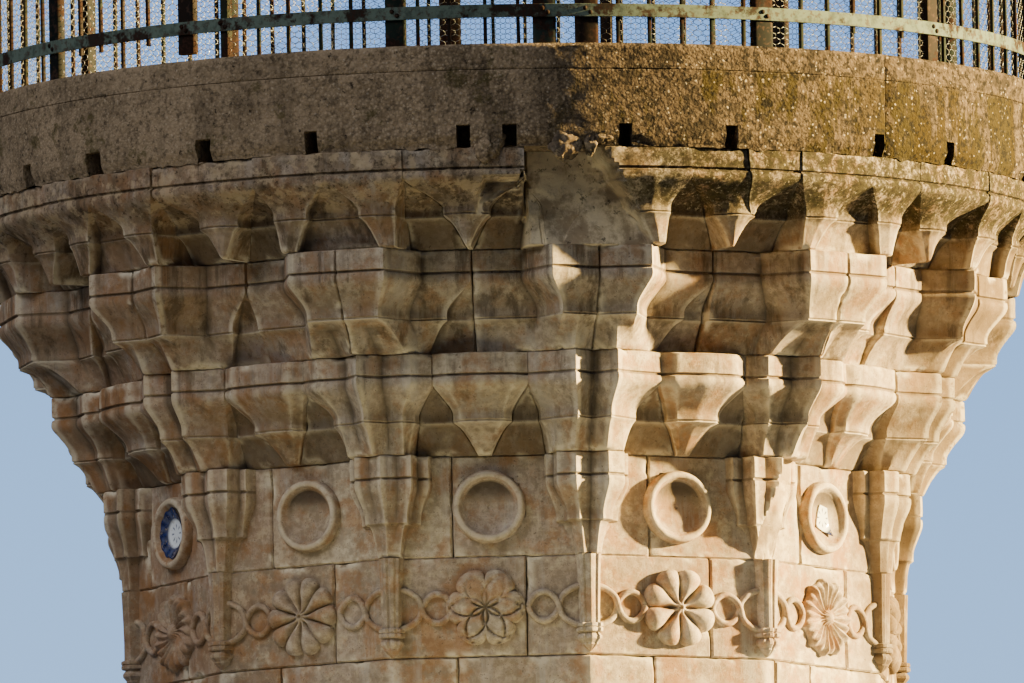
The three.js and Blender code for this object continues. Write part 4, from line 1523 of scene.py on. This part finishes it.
def sun(name, azimuth, elevation, energy, spread, colour):
    lamp = bpy.data.lights.new(name, "SUN")
    lamp.energy = energy
    lamp.angle = math.radians(spread)
    lamp.color = linear(colour)[:3]
    turn_to(new_object(name, lamp), azimuth, elevation)


def world():
    backdrop = bpy.data.worlds.new("soft_sky")
    bpy.context.scene.world = backdrop
    backdrop.use_nodes = True
    tree = backdrop.node_tree
    tree.nodes.clear()
    seen = add(tree, "ShaderNodeLightPath")["Is Camera Ray"]
    light = add(tree, "ShaderNodeBackground", None, Color=linear("#ccd8ec"), Strength=0.16)[0]
    ray = add(tree, "ShaderNodeTexCoord")["Generated"]
    up = add(tree, "ShaderNodeSeparateXYZ", None, Vector=ray)[2]
    up = add(tree, "ShaderNodeMapRange", FADE, i0=up, i1=0.095, i2=0.13)[0]
    blue = add(tree, "ShaderNodeMix", LAY, i0=up, i6=linear("#98c2f4"), i7=linear("#78a8ea"))[2]
    sky = add(tree, "ShaderNodeBackground", None, Color=blue, Strength=1.45)[0]
    both = add(tree, "ShaderNodeMixShader", None, i0=seen, i1=light, i2=sky)[0]
    add(tree, "ShaderNodeOutputWorld", None, Surface=both)


# The photograph was taken from far below with a long lens, its frame a little rolled.
CAMERA_AZIMUTH = 2.9
CAMERA_ELEVATION = -6.35
CAMERA_DISTANCE = 123.7
CAMERA_ROLL = 1.008
PIXELS_PER_METRE = 257.2
IMAGE_WIDTH = 1024
SENSOR = 36
AIM = Vector((0.014, 0, 1.762))


def camera():
    lens = bpy.data.cameras.new("long_lens")
    lens.sensor_width = SENSOR
    lens.lens = SENSOR * PIXELS_PER_METRE * CAMERA_DISTANCE / IMAGE_WIDTH
    lens.clip_start = 1
    lens.clip_end = 400
    eye = new_object("long_lens", lens)
    toward = turn_to(eye, CAMERA_AZIMUTH, CAMERA_ELEVATION, CAMERA_ROLL)
    eye.location = AIM + toward * CAMERA_DISTANCE
    bpy.context.scene.camera = eye


camera()
world()
sun("key", 99, 14, 58.0, 2.5, "#ffdd94")
sun("fill", -48, 42, 2.1, 30, "#e6e6ee")
stage()
shaft()
corbel_course(TIER_2, TIER_2_TOP, TIER_1_TOP + GAP, 2, ASKEW_2, 1.1, ARRIS)
block_course(TIER_3_TOP, TIER_2_TOP + GAP)
corbel_course(TIER_4, TIER_4_TOP, TIER_3_TOP + GAP, 4, ASKEW_4, 1.3, FINE_ARRIS)
for side in range(-60, 300, SIDE):
    medallion(side)
    rosette(side)
    chain(side + SIDE // 2)
plate("painted_plate", PLATE_SIDE, 0.004, PLATE_CUTS, ["ceramic_plate"])
plate("plate_fragment", FRAGMENT_SIDE, 0.0105, FRAGMENT_CUTS)
curb()
lumps("mortar_lumps", MORTAR_LUMPS, STONE)
lumps("concrete_lumps", CONCRETE_LUMPS, CONCRETE)
dress_floor()
railing()
netting()

bpy.context.view_layer.update()
